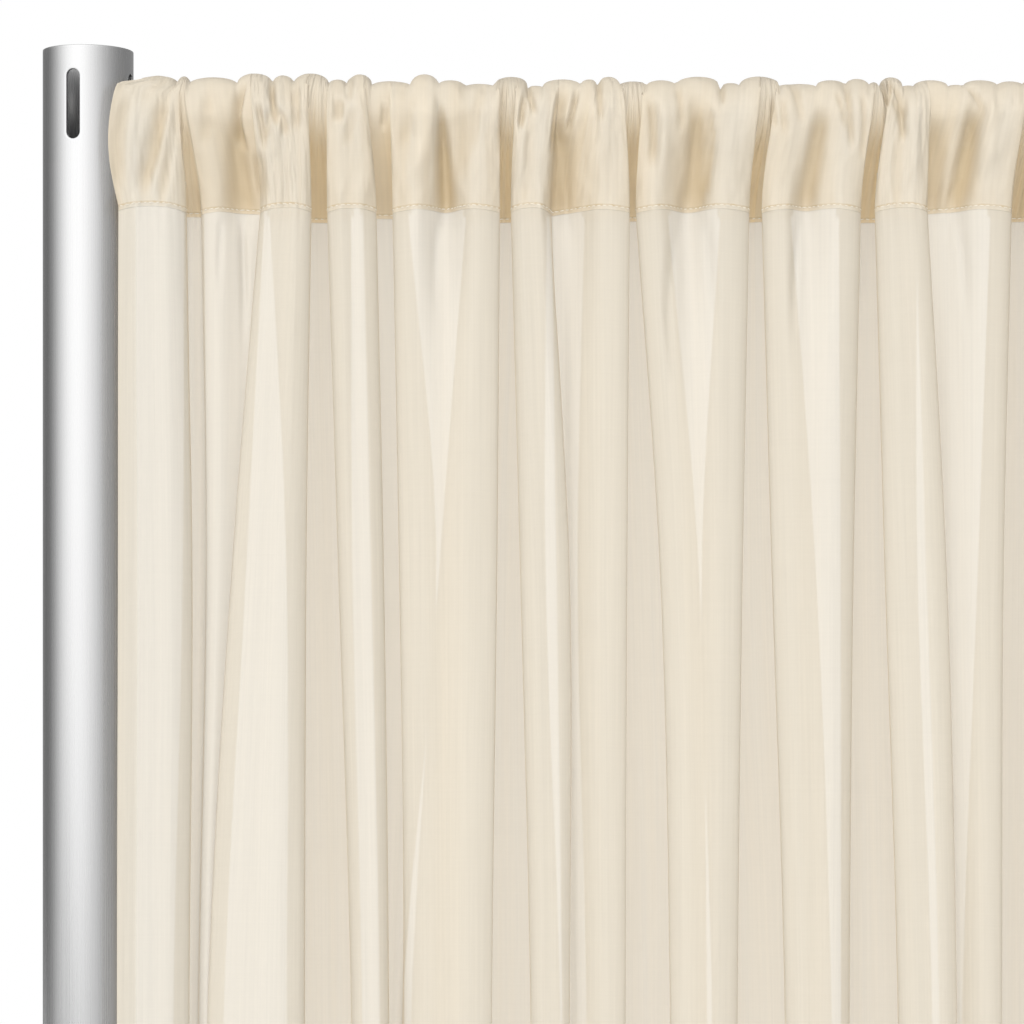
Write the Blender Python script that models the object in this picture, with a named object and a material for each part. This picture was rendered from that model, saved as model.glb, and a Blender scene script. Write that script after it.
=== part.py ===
"""Chiffon curtain panel gathered on a crossbar between two slotted uprights.

Units are metres and +Z is up. The front faces -Y, X runs across the panel, and the origin is
on the ground midway between the uprights.
"""
import math
from collections import namedtuple

import bmesh
import bpy
import numpy as np
from mathutils import Matrix, Vector

# Driving dimensions
UPRIGHT_SPAN = 0.610          # between the two uprights' axes
UPRIGHT_HEIGHT = 2.438        # from the ground to the tube's open top
UPRIGHT_DIAMETER = 0.0508
UPRIGHT_WALL = 0.002
UPRIGHT_SIDES = 40

SLOT_WIDTH = 0.0078
SLOT_LENGTH = 0.0388
SLOT_TOP_DROP = 0.0135        # from the tube's top to the slot's top end
SLOT_COUNT = 4
SLOT_TURN = math.radians(-11) # the first slot, turned from the front towards the panel's left
SLOT_CORNER_SIDES = 8

CROSSBAR_DIAMETER = 0.030
CROSSBAR_WALL = 0.0016
CROSSBAR_DROP = 0.0393        # from the uprights' top to the crossbar's axis
CROSSBAR_SIDES = 32
COLLAR_LENGTH = 0.004
PLUG_LENGTH = 0.040
HOOK_THICKNESS = 0.003
HOOK_LIP = 0.012              # how far the hook reaches down behind the slot
HOOK_LIP_WIDTH = 0.006

BASE_SIZE = (0.406, 0.356, 0.006)
BASE_CORNER = 0.020
BASE_PIN_HEIGHT = 0.180
BASE_PIN_GAP = 0.0006
BASE_PIN_SIDES = 32

CLOTH_THICKNESS = 0.0014
PANEL_WIDTH = 1.524           # flat width of the panel, before it is gathered
POCKET_CLEARANCE = 0.0020     # from the crossbar to the middle of the cloth
POCKET_FRONT_ROOM = 0.0115    # how far a fold stands out past the crossbar
POCKET_RISE = 0.0045          # how far a fold stands up above the crossbar
SEAM_DROP = 0.092             # from the uprights' top to the stitched line under the crossbar
SEAM_RISE = 0.003             # the stitched line is this much higher at the front of a fold
TOP_SPREAD = 0.65             # how far the folds even out from the stitched line to the pocket's top
TOP_SPREAD_COLUMNS = 15       # points of the section that they even out over
MID_DROP = 0.284
LOW_DROP = 0.536
PLUMB_DROP = 0.840            # from here down the folds hang straight
HEM_HEIGHT = 0.025            # from the ground to the bottom hem
PANEL_SIDE = 0.016            # the cloth's own side, from the upright's axis, where nothing is in its way
SIDE_ROOM = 0.0028            # between an upright and the middle of the cloth that passes beside it
SIDE_ROOM_REACH = 0.060       # cloth this far from an upright's axis isn't moved in
SIDE_ROOM_BLEND = 0.0035      # depth over which cloth in front of an upright is let out again
DIP_FADE = 0.070              # distance over which the shallow dips under the seam die out
OVERLAP_DROP = 0.060          # distance over which the faces slide over each other under the seam
WALL_RUN = 0.0008             # how far a fold's side leans across at the seam

GAP = 0.0003                  # between pieces that rest on each other

# How a fold's depth is read: the deepest and the foremost turn, behind the crossbar's axis, in millimetres
FRONT_TURN = -28.0
BACK_TURN = 24.0

# The panel's folds from left to right, one row for each face of the cloth between two turns.
# left_* and right_* are where the face turns, in millimetres from the left upright's axis, at the
# stitched line, at MID_DROP and at LOW_DROP. A face that starts before the last one ends lies over or
# under it. back_* is how far behind the crossbar's axis that turn lies. crown_* is how far the left and
# right halves of the face stand behind the line between its turns. dip_at is where a face has a shallow
# dip under the stitched line, as a part of its width, and dip is that dip's depth. All in millimetres.
Fold = namedtuple("Fold", "name left_top right_top left_mid right_mid left_low right_low"
                          " back_left back_right crown_left crown_right dip_at dip")
FOLDS = [
    Fold("left_hem_fold",   22.0,  57.5,  21.5,  61.5,  21.0,  60.0, -24, -22, -7, -7, 0.50,  0),
    Fold("first_valley",    53.0,  66.0,  52.0,  67.0,  44.5,  62.0,   0,   0,  4,  4, 0.50,  0),
    Fold("set_back_fold",   66.0, 102.0,  69.0,  91.0,  65.0,  78.0, -13,  -9, -5,  0, 0.62,  3),
    Fold("leaning_fold",    98.0, 127.0,  84.0, 125.0,  70.0, 124.0, -22, -22, -6, -8, 0.50,  0),
    Fold("second_valley",  112.0, 148.0, 111.5, 148.5, 112.0, 154.0,  16,  18,  7,  7, 0.50,  0),
    Fold("narrow_fold",    137.0, 163.0, 142.5, 168.0, 150.0, 171.0, -20, -19, -7, -7, 0.50,  0),
    Fold("third_valley",   155.5, 181.0, 160.0, 197.0, 165.0, 177.5,  -1,   2,  4,  4, 0.50,  0),
    Fold("widening_fold",  173.0, 232.5, 176.5, 231.5, 180.0, 228.5, -18, -22, -8, -8, 0.48, 14),
    Fold("fourth_valley",  221.5, 250.0, 199.0, 258.5, 182.5, 267.0,  19,  16,  6,  6, 0.50,  0),
    Fold("straight_fold",  239.5, 265.0, 244.0, 271.5, 250.0, 272.0, -20, -23, -7, -7, 0.50,  0),
    Fold("tucked_fold",    261.0, 305.0, 264.5, 304.0, 268.0, 303.0,  -9, -22,  1, -9, 0.26,  5),
    Fold("fifth_valley",   283.0, 328.0, 277.0, 345.0, 282.0, 350.0,  18,   8,  7,  7, 0.50,  0),
    Fold("broad_fold",     309.5, 372.0, 322.0, 368.5, 328.0, 365.5, -18, -22, -8, -8, 0.45, 15),
    Fold("sixth_valley",   358.5, 405.0, 348.0, 411.5, 354.0, 421.0,  22,  12,  5,  5, 0.50,  0),
    Fold("soft_fold",      380.0, 434.0, 384.5, 430.0, 392.0, 427.5, -19, -22, -8, -8, 0.46, 10),
    Fold("seventh_valley", 426.0, 464.0, 427.0, 470.0, 427.5, 478.5,  18,  16,  7,  7, 0.50,  0),
    Fold("upright_fold",   444.0, 471.5, 447.5, 481.5, 455.0, 487.5, -20, -24, -7, -7, 0.50,  0),
    Fold("under_fold",     466.0, 514.5, 472.0, 514.0, 479.5, 513.0,  -9, -22,  1, -9, 0.34,  5),
    Fold("eighth_valley",  509.0, 537.0, 505.0, 539.0, 496.0, 543.0,  17,  14,  6,  6, 0.50,  0),
    Fold("ninth_fold",     528.0, 556.0, 530.0, 557.0, 534.0, 558.0, -20, -20, -7, -7, 0.50,  0),
    Fold("ninth_valley",   550.0, 570.0, 550.0, 571.0, 549.0, 572.0,   8,   6,  5,  5, 0.50,  0),
    Fold("right_hem_fold", 563.0, 588.0, 564.0, 588.5, 566.0, 589.0, -19, -24, -7, -7, 0.50,  0),
]

# Steps that the faceted cloth takes along each stretch of a fold, from one turn to the next fold's turn
STEPS_ALONG_FOLD = (1, 1, 1, 1, 1)
# Parts of the way round the pocket from its top to the stitched line, on each side of the crossbar
FRONT_STEPS = (0.0, 0.12, 0.24, 0.36, 0.48, 0.72, 1.0)
BACK_STEPS = (0.0, 0.15, 0.30, 0.46, 0.72, 1.0)
# Distances below the uprights' top at which the hanging cloth has a row of facets
BODY_DROPS = (0.118, 0.155, 0.215, 0.284, 0.365, 0.450, 0.536, 0.680, 0.900)

# Colours (linear) and finishes
CHIFFON = dict(color=(0.72, 0.57, 0.37), roughness=0.85, metallic=0.0)
BRUSHED_ALUMINIUM = dict(color=(0.62, 0.61, 0.59), roughness=0.38, metallic=1.0)
PLAIN_STEEL = dict(color=(0.50, 0.50, 0.50), roughness=0.45, metallic=1.0)
POWDER_COAT = dict(color=(0.045, 0.045, 0.047), roughness=0.55, metallic=0.0)

MM = 0.001
CROSSBAR_Y = -UPRIGHT_DIAMETER / 2 * math.cos(SLOT_TURN + math.tau / SLOT_COUNT)
CROSSBAR_Z = UPRIGHT_HEIGHT - CROSSBAR_DROP
LEFT_AXIS_X = -UPRIGHT_SPAN / 2
UPRIGHT_RADIUS = UPRIGHT_DIAMETER / 2
BORE_RADIUS = UPRIGHT_RADIUS - UPRIGHT_WALL
CROSSBAR_RADIUS = CROSSBAR_DIAMETER / 2


# ---------------------------------------------------------------- helpers

def clear_scene():
    for obj in list(bpy.data.objects):
        bpy.data.objects.remove(obj, do_unlink=True)


def make_material(name, color, roughness, metallic):
    material = bpy.data.materials.new(name)
    material.use_nodes = True
    shader = material.node_tree.nodes["Principled BSDF"]
    shader.inputs["Base Color"].default_value = (*color, 1.0)
    shader.inputs["Roughness"].default_value = roughness
    shader.inputs["Metallic"].default_value = metallic
    material.diffuse_color = (*color, 1.0)
    return material


def add_object(name, bm, material, smooth=True):
    bmesh.ops.recalc_face_normals(bm, faces=bm.faces)
    mesh = bpy.data.meshes.new(name)
    bm.to_mesh(mesh)
    bm.free()
    if smooth:
        mesh.shade_smooth()
        mesh.set_sharp_from_angle(angle=math.radians(30))
    mesh.materials.append(material)
    obj = bpy.data.objects.new(name, mesh)
    bpy.context.scene.collection.objects.link(obj)
    return obj


def add_cutter(name, bm):
    """A shape that only cuts others: the build leaves it out."""
    obj = add_object(name, bm, bpy.data.materials.get("cutter") or bpy.data.materials.new("cutter"))
    obj.hide_render = True
    obj.display_type = "WIRE"
    return obj


def boolean(obj, other, operation):
    modifier = obj.modifiers.new(operation.lower(), "BOOLEAN")
    modifier.operation = operation
    modifier.solver = "EXACT"
    modifier.object = other


def cylinder(bm, radius, length, sides, matrix):
    bmesh.ops.create_cone(bm, cap_ends=True, segments=sides, radius1=radius, radius2=radius,
                          depth=length, matrix=matrix)


def extrude_outline(bm, points, direction):
    """A prism from a closed flat outline."""
    face = bm.faces.new([bm.verts.new(point) for point in points])
    extruded = bmesh.ops.extrude_face_region(bm, geom=[face])
    moved = [item for item in extruded["geom"] if isinstance(item, bmesh.types.BMVert)]
    bmesh.ops.translate(bm, verts=moved, vec=direction)


def tube(bm, outer_radius, inner_radius, length, sides, matrix):
    """An open-ended tube, turned about its own axis from one wall section."""
    half = length / 2
    section = [(outer_radius, -half), (outer_radius, half), (inner_radius, half), (inner_radius, -half)]
    verts = [bm.verts.new(matrix @ Vector((radius, 0, z))) for radius, z in section]
    face = bm.faces.new(verts)
    axis = (matrix.to_3x3() @ Vector((0, 0, 1))).normalized()
    edges = list(face.edges)
    bmesh.ops.delete(bm, geom=[face], context="FACES_ONLY")
    bmesh.ops.spin(bm, geom=verts + edges, cent=matrix.translation, axis=axis, angle=math.tau,
                   steps=sides, use_merge=True)


# ---------------------------------------------------------------- uprights, bases, crossbar

def slot_cutter(name, axis_x, sign):
    """Round-ended bars through the wall, one for each slot, mirrored at the right upright."""
    bm = bmesh.new()
    half_straight = (SLOT_LENGTH - SLOT_WIDTH) / 2
    middle_z = UPRIGHT_HEIGHT - SLOT_TOP_DROP - SLOT_LENGTH / 2
    for index in range(SLOT_COUNT):
        outline = []
        for end, start_angle in ((1, 0.0), (-1, math.pi)):
            for step in range(SLOT_CORNER_SIDES + 1):
                angle = start_angle + math.pi * step / SLOT_CORNER_SIDES
                outline.append(Vector((SLOT_WIDTH / 2 * math.cos(angle), -BORE_RADIUS * 0.8,
                                       end * half_straight + SLOT_WIDTH / 2 * math.sin(angle))))
        turn = Matrix.Rotation(sign * SLOT_TURN + math.tau * index / SLOT_COUNT, 4, "Z")
        place = Matrix.Translation((axis_x, 0, middle_z)) @ turn
        outward = turn @ Vector((0, -UPRIGHT_RADIUS * 0.5, 0))
        extrude_outline(bm, [place @ point for point in outline], outward)
    return add_cutter(name, bm)


def make_upright(side, sign, material):
    axis_x = sign * LEFT_AXIS_X
    bottom = BASE_SIZE[2] + GAP
    length = UPRIGHT_HEIGHT - bottom
    bm = bmesh.new()
    tube(bm, UPRIGHT_RADIUS, BORE_RADIUS, length, UPRIGHT_SIDES,
         Matrix.Translation((axis_x, 0, bottom + length / 2)))
    upright = add_object(side + "_upright", bm, material)
    boolean(upright, slot_cutter(side + "_slot_cutter", axis_x, sign), "DIFFERENCE")


def make_base(side, axis_x, material):
    width, depth, thickness = BASE_SIZE
    bm = bmesh.new()
    bmesh.ops.create_cube(bm, size=1.0, matrix=Matrix.Translation((axis_x, 0, thickness / 2))
                          @ Matrix.Diagonal((width, depth, thickness, 1)))
    corners = [edge for edge in bm.edges if abs(edge.verts[0].co.z - edge.verts[1].co.z) > thickness / 2]
    bmesh.ops.bevel(bm, geom=corners, offset=BASE_CORNER, segments=6, profile=0.5, affect="EDGES",
                    material=-1)
    base = add_object(side + "_base", bm, material)

    pin = bmesh.new()
    length = BASE_PIN_HEIGHT + thickness / 2
    cylinder(pin, BORE_RADIUS - BASE_PIN_GAP, length, BASE_PIN_SIDES,
             Matrix.Translation((axis_x, 0, thickness / 2 + length / 2)))
    boolean(base, add_cutter(side + "_base_pin", pin), "UNION")


def make_crossbar(material):
    """The tube between the two end collars."""
    length = UPRIGHT_SPAN - 2 * (UPRIGHT_RADIUS + COLLAR_LENGTH + 2 * GAP)
    bm = bmesh.new()
    tube(bm, CROSSBAR_RADIUS, CROSSBAR_RADIUS - CROSSBAR_WALL, length, CROSSBAR_SIDES,
         Matrix.Translation((0, CROSSBAR_Y, CROSSBAR_Z)) @ Matrix.Rotation(math.pi / 2, 4, "Y"))
    add_object("crossbar", bm, material)


def make_hook(side, sign, material):
    """A plug and collar for the crossbar's end, with a plate that hooks into the upright's slot.

    sign is +1 at the left upright, where the hook points to -X, and -1 at the right one.
    """
    axis_x = sign * LEFT_AXIS_X
    inward = sign
    face_x = axis_x + inward * (UPRIGHT_RADIUS + GAP)
    collar_end = face_x + inward * COLLAR_LENGTH
    plug_end = collar_end + inward * PLUG_LENGTH
    turn = Matrix.Rotation(math.pi / 2, 4, "Y")

    bm = bmesh.new()
    cylinder(bm, CROSSBAR_RADIUS, COLLAR_LENGTH, CROSSBAR_SIDES,
             Matrix.Translation(((face_x + collar_end) / 2, CROSSBAR_Y, CROSSBAR_Z)) @ turn)
    hook = add_object(side + "_hook", bm, material)

    plug = bmesh.new()
    half_collar = COLLAR_LENGTH / 2
    plug_x = (collar_end - inward * half_collar + plug_end) / 2
    cylinder(plug, CROSSBAR_RADIUS - CROSSBAR_WALL - GAP, PLUG_LENGTH + half_collar, CROSSBAR_SIDES,
             Matrix.Translation((plug_x, CROSSBAR_Y, CROSSBAR_Z)) @ turn)
    boolean(hook, add_cutter(side + "_plug", plug), "UNION")

    slot_bottom = UPRIGHT_HEIGHT - SLOT_TOP_DROP - SLOT_LENGTH
    wall_inside = math.sqrt(BORE_RADIUS ** 2 - CROSSBAR_Y ** 2)
    seat_z = slot_bottom + SLOT_WIDTH / 2
    top_z = CROSSBAR_Z + CROSSBAR_RADIUS * 0.75
    lip_outer = axis_x + inward * (wall_inside - 3 * GAP)     # just inside the upright's bore
    lip_inner = lip_outer - inward * HOOK_LIP_WIDTH
    root = face_x + inward * half_collar
    outline = [(root, top_z), (lip_inner, top_z), (lip_inner, slot_bottom - HOOK_LIP),
               (lip_outer, slot_bottom - HOOK_LIP), (lip_outer, seat_z), (root, seat_z)]
    plate = bmesh.new()
    front_y = CROSSBAR_Y - HOOK_THICKNESS / 2
    extrude_outline(plate, [(x, front_y, z) for x, z in outline], (0, HOOK_THICKNESS, 0))
    boolean(hook, add_cutter(side + "_plate", plate), "UNION")


# ---------------------------------------------------------------- the cloth

def smooth_curve(knots, values, at):
    """A curve through values at knots that never overshoots between them much: cubic Hermite pieces."""
    knots = np.asarray(knots, float)
    values = np.asarray(values, float)
    shape = (-1,) + (1,) * (values.ndim - 1)
    steps = np.diff(knots)
    slopes = np.diff(values, axis=0) / steps.reshape(shape)
    before, after = steps[:-1].reshape(shape), steps[1:].reshape(shape)
    inner = (slopes[:-1] * after + slopes[1:] * before) / (before + after)
    tangents = np.concatenate([slopes[:1], inner, slopes[-1:]])
    index = np.clip(np.searchsorted(knots, at, side="right") - 1, 0, len(steps) - 1)
    step = steps[index]
    t = (at - knots[index]) / step
    t, step = t.reshape(shape), step.reshape(shape)
    return ((2 * t ** 3 - 3 * t ** 2 + 1) * values[index] + (t ** 3 - 2 * t ** 2 + t) * step * tangents[index]
            + (3 * t ** 2 - 2 * t ** 3) * values[index + 1] + (t ** 3 - t ** 2) * step * tangents[index + 1])


def along_heights(top, mid, low, drop):
    """A turn's place at one height, from its places at the stitched line, MID_DROP and LOW_DROP."""
    plumb = low + (low - mid) * 0.1
    heights = (SEAM_DROP, MID_DROP, LOW_DROP, PLUMB_DROP, UPRIGHT_HEIGHT)
    places = (top, mid, low, plumb, plumb)
    return float(smooth_curve(heights, places, np.array([max(drop, SEAM_DROP)]))[0])


def turns_at(drop):
    """Each face's left and right turn at one height, in millimetres.

    At the stitched line two faces that overlap lower down meet where the foremost one turns, so that
    the pocket's two layers can lie inside each other. They slide over each other below it.
    """
    turns = [[along_heights(fold.left_top, fold.left_mid, fold.left_low, drop),
              along_heights(fold.right_top, fold.right_mid, fold.right_low, drop)] for fold in FOLDS]
    closed = 1 - min(max((drop - SEAM_DROP) / OVERLAP_DROP, 0), 1)
    for before, after, turn, next_turn in zip(FOLDS, FOLDS[1:], turns, turns[1:]):
        meeting = turn[1] if before.back_right < after.back_left else next_turn[0]
        turn[1] += closed * (meeting - WALL_RUN / 2 / MM - turn[1])
        next_turn[0] += closed * (meeting + WALL_RUN / 2 / MM - next_turn[0])
    return turns


def section_knots(drop, depth_factor):
    """The section's own points at one height: five for each fold, in millimetres."""
    points = []
    fade = math.exp(-((max(drop - SEAM_DROP, 0) / DIP_FADE) ** 2))
    for fold, (left, right) in zip(FOLDS, turns_at(drop)):
        middle_crown = (fold.crown_left + fold.crown_right) / 2 + fold.dip * fade
        stands_back = ((0, 0), (fold.dip_at * 0.45, fold.crown_left), (fold.dip_at, middle_crown),
                       (1 - (1 - fold.dip_at) * 0.45, fold.crown_right), (1, 0))
        for part, crown in stands_back:
            back = fold.back_left + (fold.back_right - fold.back_left) * part + crown
            points.append((left + (right - left) * part, back * depth_factor))
    return np.array(points)


def section(drop, steps, depth_factor=1.0):
    """The cloth's middle line at one height, as x and y columns in millimetres."""
    knots = section_knots(drop, depth_factor)
    lengths = np.linalg.norm(np.diff(knots, axis=0), axis=1) ** 0.5
    places = np.concatenate([[0], np.cumsum(lengths)])
    at = [places[0]]
    for number in range(len(knots) - 1):
        count = steps[number % len(steps)]
        at.extend(places[number] + (places[number + 1] - places[number]) * (step + 1) / count
                  for step in range(count))
    return smooth_curve(places, knots, np.array(at))


def depth_factor_at(drop):
    """How deep the folds are at one height, so that the same width of cloth fills every height."""
    low, high = 0.3, 2.5
    for _ in range(30):
        middle = (low + high) / 2
        points = section(drop, (6, 6, 6, 6, 10), middle)
        length = np.linalg.norm(np.diff(points, axis=0), axis=1).sum() * MM
        low, high = (middle, high) if length < PANEL_WIDTH else (low, middle)
    return (low + high) / 2


def pocket_path(seam_back, room, rise, seam_z, parts):
    """Points from the pocket's top down to the stitched line, on one side of the crossbar.

    The cloth lies round a half oval, room out from the crossbar's axis and rise above it, and then runs
    straight to the stitched line. Returned as how far out from the axis and how far above it.
    """
    x, z = seam_back / room, seam_z / rise
    distance = math.hypot(x, z)
    leave = (math.atan2(x, z) % math.tau) - math.acos(1 / distance)
    angles = np.linspace(0, leave, 40)
    path = np.column_stack([room * np.sin(angles), rise * np.cos(angles)])
    path = np.vstack([path, [seam_back, seam_z]])
    run = np.concatenate([[0], np.cumsum(np.linalg.norm(np.diff(path, axis=0), axis=1))])
    at = np.array(parts) * run[-1]
    return np.column_stack([np.interp(at, run, path[:, 0]), np.interp(at, run, path[:, 1])])


def make_room_for_uprights(x, y):
    """Moves the cloth's ends in from the uprights wherever it passes beside or behind one.

    x is from the left upright's axis and y is in the object's own frame, both in metres.
    """
    clear = UPRIGHT_RADIUS + SIDE_ROOM
    shrink = (SIDE_ROOM_REACH - clear) / (SIDE_ROOM_REACH - PANEL_SIDE)
    beside = np.clip((y + clear + GAP) / SIDE_ROOM_BLEND, 0, 1)
    from_left = np.maximum(SIDE_ROOM_REACH - x, 0)
    from_right = np.maximum(x - (UPRIGHT_SPAN - SIDE_ROOM_REACH), 0)
    return x + beside * (1 - shrink) * (from_left - from_right)


def cloth_rows():
    """The sheet's rows of points, from the pocket's back edge over the crossbar and down to the hem."""
    seam = section(SEAM_DROP, STEPS_ALONG_FOLD, depth_factor_at(SEAM_DROP)) * MM
    seam_x, seam_back = seam[:, 0], seam[:, 1]
    behind = np.clip((seam_back / MM - FRONT_TURN) / (BACK_TURN - FRONT_TURN), 0, 1)
    seam_z = -(SEAM_DROP - CROSSBAR_DROP) - SEAM_RISE * (behind - 0.5)
    kernel = np.hanning(TOP_SPREAD_COLUMNS)
    padded = np.pad(seam_x, TOP_SPREAD_COLUMNS // 2, mode="reflect", reflect_type="odd")
    spread_x = np.convolve(padded, kernel / kernel.sum(), mode="valid")
    top_x = seam_x + (spread_x - seam_x) * TOP_SPREAD

    close = CROSSBAR_RADIUS + POCKET_CLEARANCE
    front, back = [], []
    for column in range(len(seam_x)):
        front_room = close + POCKET_FRONT_ROOM * (1 - behind[column])
        back_room = close + POCKET_FRONT_ROOM * 0.8 * behind[column]
        rise = close + POCKET_RISE * (1 - behind[column]) ** 1.5
        front.append(pocket_path(-seam_back[column], front_room, rise, seam_z[column], FRONT_STEPS))
        back.append(pocket_path(seam_back[column], back_room, rise, seam_z[column], BACK_STEPS))
    front, back = np.array(front), np.array(back)

    # The back layer lies inside the front one: a cloth's thickness in from each fold's side, and it
    # stops just behind the stitched line.
    tangent = np.gradient(seam, axis=0)
    inner_side = np.column_stack([-tangent[:, 1], tangent[:, 0]])
    inner_side *= (CLOTH_THICKNESS + 2 * GAP) / np.linalg.norm(inner_side, axis=1)[:, None]

    rows = []
    for step in reversed(range(len(BACK_STEPS))):
        up = 1 - BACK_STEPS[step]
        share = up * up * (3 - 2 * up)
        near_seam = (1 - share) ** 4
        x = seam_x + (top_x - seam_x) * share + inner_side[:, 0] * (1 - up ** 6)
        y = CROSSBAR_Y + back[:, step, 0] + inner_side[:, 1] * near_seam
        rows.append(np.column_stack([x, y, CROSSBAR_Z + back[:, step, 1] + GAP * near_seam]))
    for step in range(1, len(FRONT_STEPS)):
        up = 1 - FRONT_STEPS[step]
        share = up * up * (3 - 2 * up)
        x = seam_x + (top_x - seam_x) * share
        rows.append(np.column_stack([x, CROSSBAR_Y - front[:, step, 0], CROSSBAR_Z + front[:, step, 1]]))
    for drop in (*BODY_DROPS, UPRIGHT_HEIGHT - HEM_HEIGHT):
        points = section(drop, STEPS_ALONG_FOLD, depth_factor_at(drop)) * MM
        level = np.full(len(points), UPRIGHT_HEIGHT - drop)
        rows.append(np.column_stack([points[:, 0], CROSSBAR_Y + points[:, 1], level]))
    rows = np.array(rows)
    rows[:, :, 0] = make_room_for_uprights(rows[:, :, 0], rows[:, :, 1]) + LEFT_AXIS_X
    return rows


def make_curtain(material):
    """One grid of cloth, laid on the rows and given its thickness.

    It is cut into triangles first, so that both sides of the cloth have the same facets.
    """
    rows = cloth_rows()
    row_count, column_count = rows.shape[:2]
    bm = bmesh.new()
    bmesh.ops.create_grid(bm, x_segments=column_count - 1, y_segments=row_count - 1, size=0.5)
    bm.verts.ensure_lookup_table()
    for vert in bm.verts:
        column = round((vert.co.x + 0.5) * (column_count - 1))
        row = round((vert.co.y + 0.5) * (row_count - 1))
        vert.co = rows[row, column]
    bmesh.ops.triangulate(bm, faces=bm.faces)
    mesh = bpy.data.meshes.new("curtain_panel")
    bm.to_mesh(mesh)
    bm.free()
    mesh.shade_smooth()
    mesh.materials.append(material)
    curtain = bpy.data.objects.new("curtain_panel", mesh)
    bpy.context.scene.collection.objects.link(curtain)
    solidify = curtain.modifiers.new("thickness", "SOLIDIFY")
    solidify.thickness = CLOTH_THICKNESS
    solidify.offset = 0.0


def main():
    clear_scene()
    aluminium = make_material("brushed_aluminium", **BRUSHED_ALUMINIUM)
    steel = make_material("plain_steel", **PLAIN_STEEL)
    powder_coat = make_material("powder_coat", **POWDER_COAT)
    chiffon = make_material("chiffon", **CHIFFON)
    for side, sign in (("left", 1), ("right", -1)):
        make_upright(side, sign, aluminium)
        make_base(side, sign * LEFT_AXIS_X, powder_coat)
        make_hook(side, sign, steel)
    make_crossbar(aluminium)
    make_curtain(chiffon)


main()
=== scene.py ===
"""A chiffon curtain panel gathered on a crossbar between two slotted uprights.

Units are metres and +Z is up. The front faces -Y, X runs across the panel, and the origin is on the
ground midway between the uprights.
"""
import math
from collections import namedtuple
from functools import partial

import bmesh
import bpy
import numpy as np
from bpy.props import FloatProperty, FloatVectorProperty, PointerProperty
from mathutils import Matrix, Vector


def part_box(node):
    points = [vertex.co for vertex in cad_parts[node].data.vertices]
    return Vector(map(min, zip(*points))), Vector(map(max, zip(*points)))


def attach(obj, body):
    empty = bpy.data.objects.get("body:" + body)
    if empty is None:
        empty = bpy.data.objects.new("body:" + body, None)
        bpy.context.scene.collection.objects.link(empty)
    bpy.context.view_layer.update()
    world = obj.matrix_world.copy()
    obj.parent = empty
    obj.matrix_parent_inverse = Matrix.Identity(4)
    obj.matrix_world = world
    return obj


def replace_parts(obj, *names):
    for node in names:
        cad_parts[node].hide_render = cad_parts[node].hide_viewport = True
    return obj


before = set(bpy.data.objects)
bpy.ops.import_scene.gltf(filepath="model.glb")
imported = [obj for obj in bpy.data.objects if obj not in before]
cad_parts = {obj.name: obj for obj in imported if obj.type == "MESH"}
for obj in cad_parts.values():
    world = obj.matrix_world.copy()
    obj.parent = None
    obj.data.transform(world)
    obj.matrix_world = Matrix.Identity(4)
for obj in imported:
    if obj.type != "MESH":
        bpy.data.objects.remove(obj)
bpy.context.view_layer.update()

bl_info = {
    "name": "Chiffon curtain panel",
    "version": (1, 0, 0),
    "blender": (4, 5, 0),
    "location": "View3D > Sidebar > Curtain",
    "description": "A sheer curtain panel gathered on a crossbar between two slotted uprights",
    "category": "Object",
}

MM = 0.001


# ---------------- places taken from the frame

def middle(low, high):
    return (low + high) / 2


UPRIGHT_LOW, UPRIGHT_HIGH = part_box("left_upright")
AXIS_X = -middle(UPRIGHT_LOW, UPRIGHT_HIGH).x  # the uprights stand at -AXIS_X and AXIS_X
TOP_Z = UPRIGHT_HIGH.z
UPRIGHT_RADIUS = (UPRIGHT_HIGH.x - UPRIGHT_LOW.x) / 2
BAR_LOW, BAR_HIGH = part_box("crossbar")
BAR_Y, BAR_Z = middle(BAR_LOW, BAR_HIGH).y, middle(BAR_LOW, BAR_HIGH).z
BAR_RADIUS = (BAR_HIGH.z - BAR_LOW.z) / 2
HEM_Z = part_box("curtain_panel")[0].z
HEM_DROP = TOP_Z - HEM_Z


# ---------------- the panel's hang

SEAM_DROP = 0.092  # from the uprights' top to the stitched line under the crossbar
SEAM_RISE = 0.001  # how much higher the stitched line runs in front than in a valley
SEAM_ARC = 0.0026  # how much higher it runs at the middle of a front fold than at its turns
VALLEY_SAG = 1.4  # share of that arc lost on the way to the deepest valley, where it sags
ARC_FADE = 4  # how fast the arc dies out down the panel
MID_DROP = 0.284  # here and at LOW_DROP the folds' turns are given once more
LOW_DROP = 0.536
PLUMB_DROP = 0.840  # from here down the folds hang straight
PLUMB_RUN_ON = 0.1  # how far the turns run on below LOW_DROP, as a part of their run above it
DIP_FADE = 0.070  # distance over which the shallow dips under the seam die out
BOW_AT = 0.45  # where each half of a face bows most, as a part of the way to its dip
DEPTH_RANGE = (0.3, 2.5)  # how shallow or deep the folds may be pressed to take up the panel's width
DEPTH_HALVINGS = 24
FRONT_TURN = -28.0  # cloth this far behind the crossbar's axis counts as a fold, in millimetres
BACK_TURN = 24.0  # and this far as a valley

# ---------------- the panel's rod pocket and edges

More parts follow.
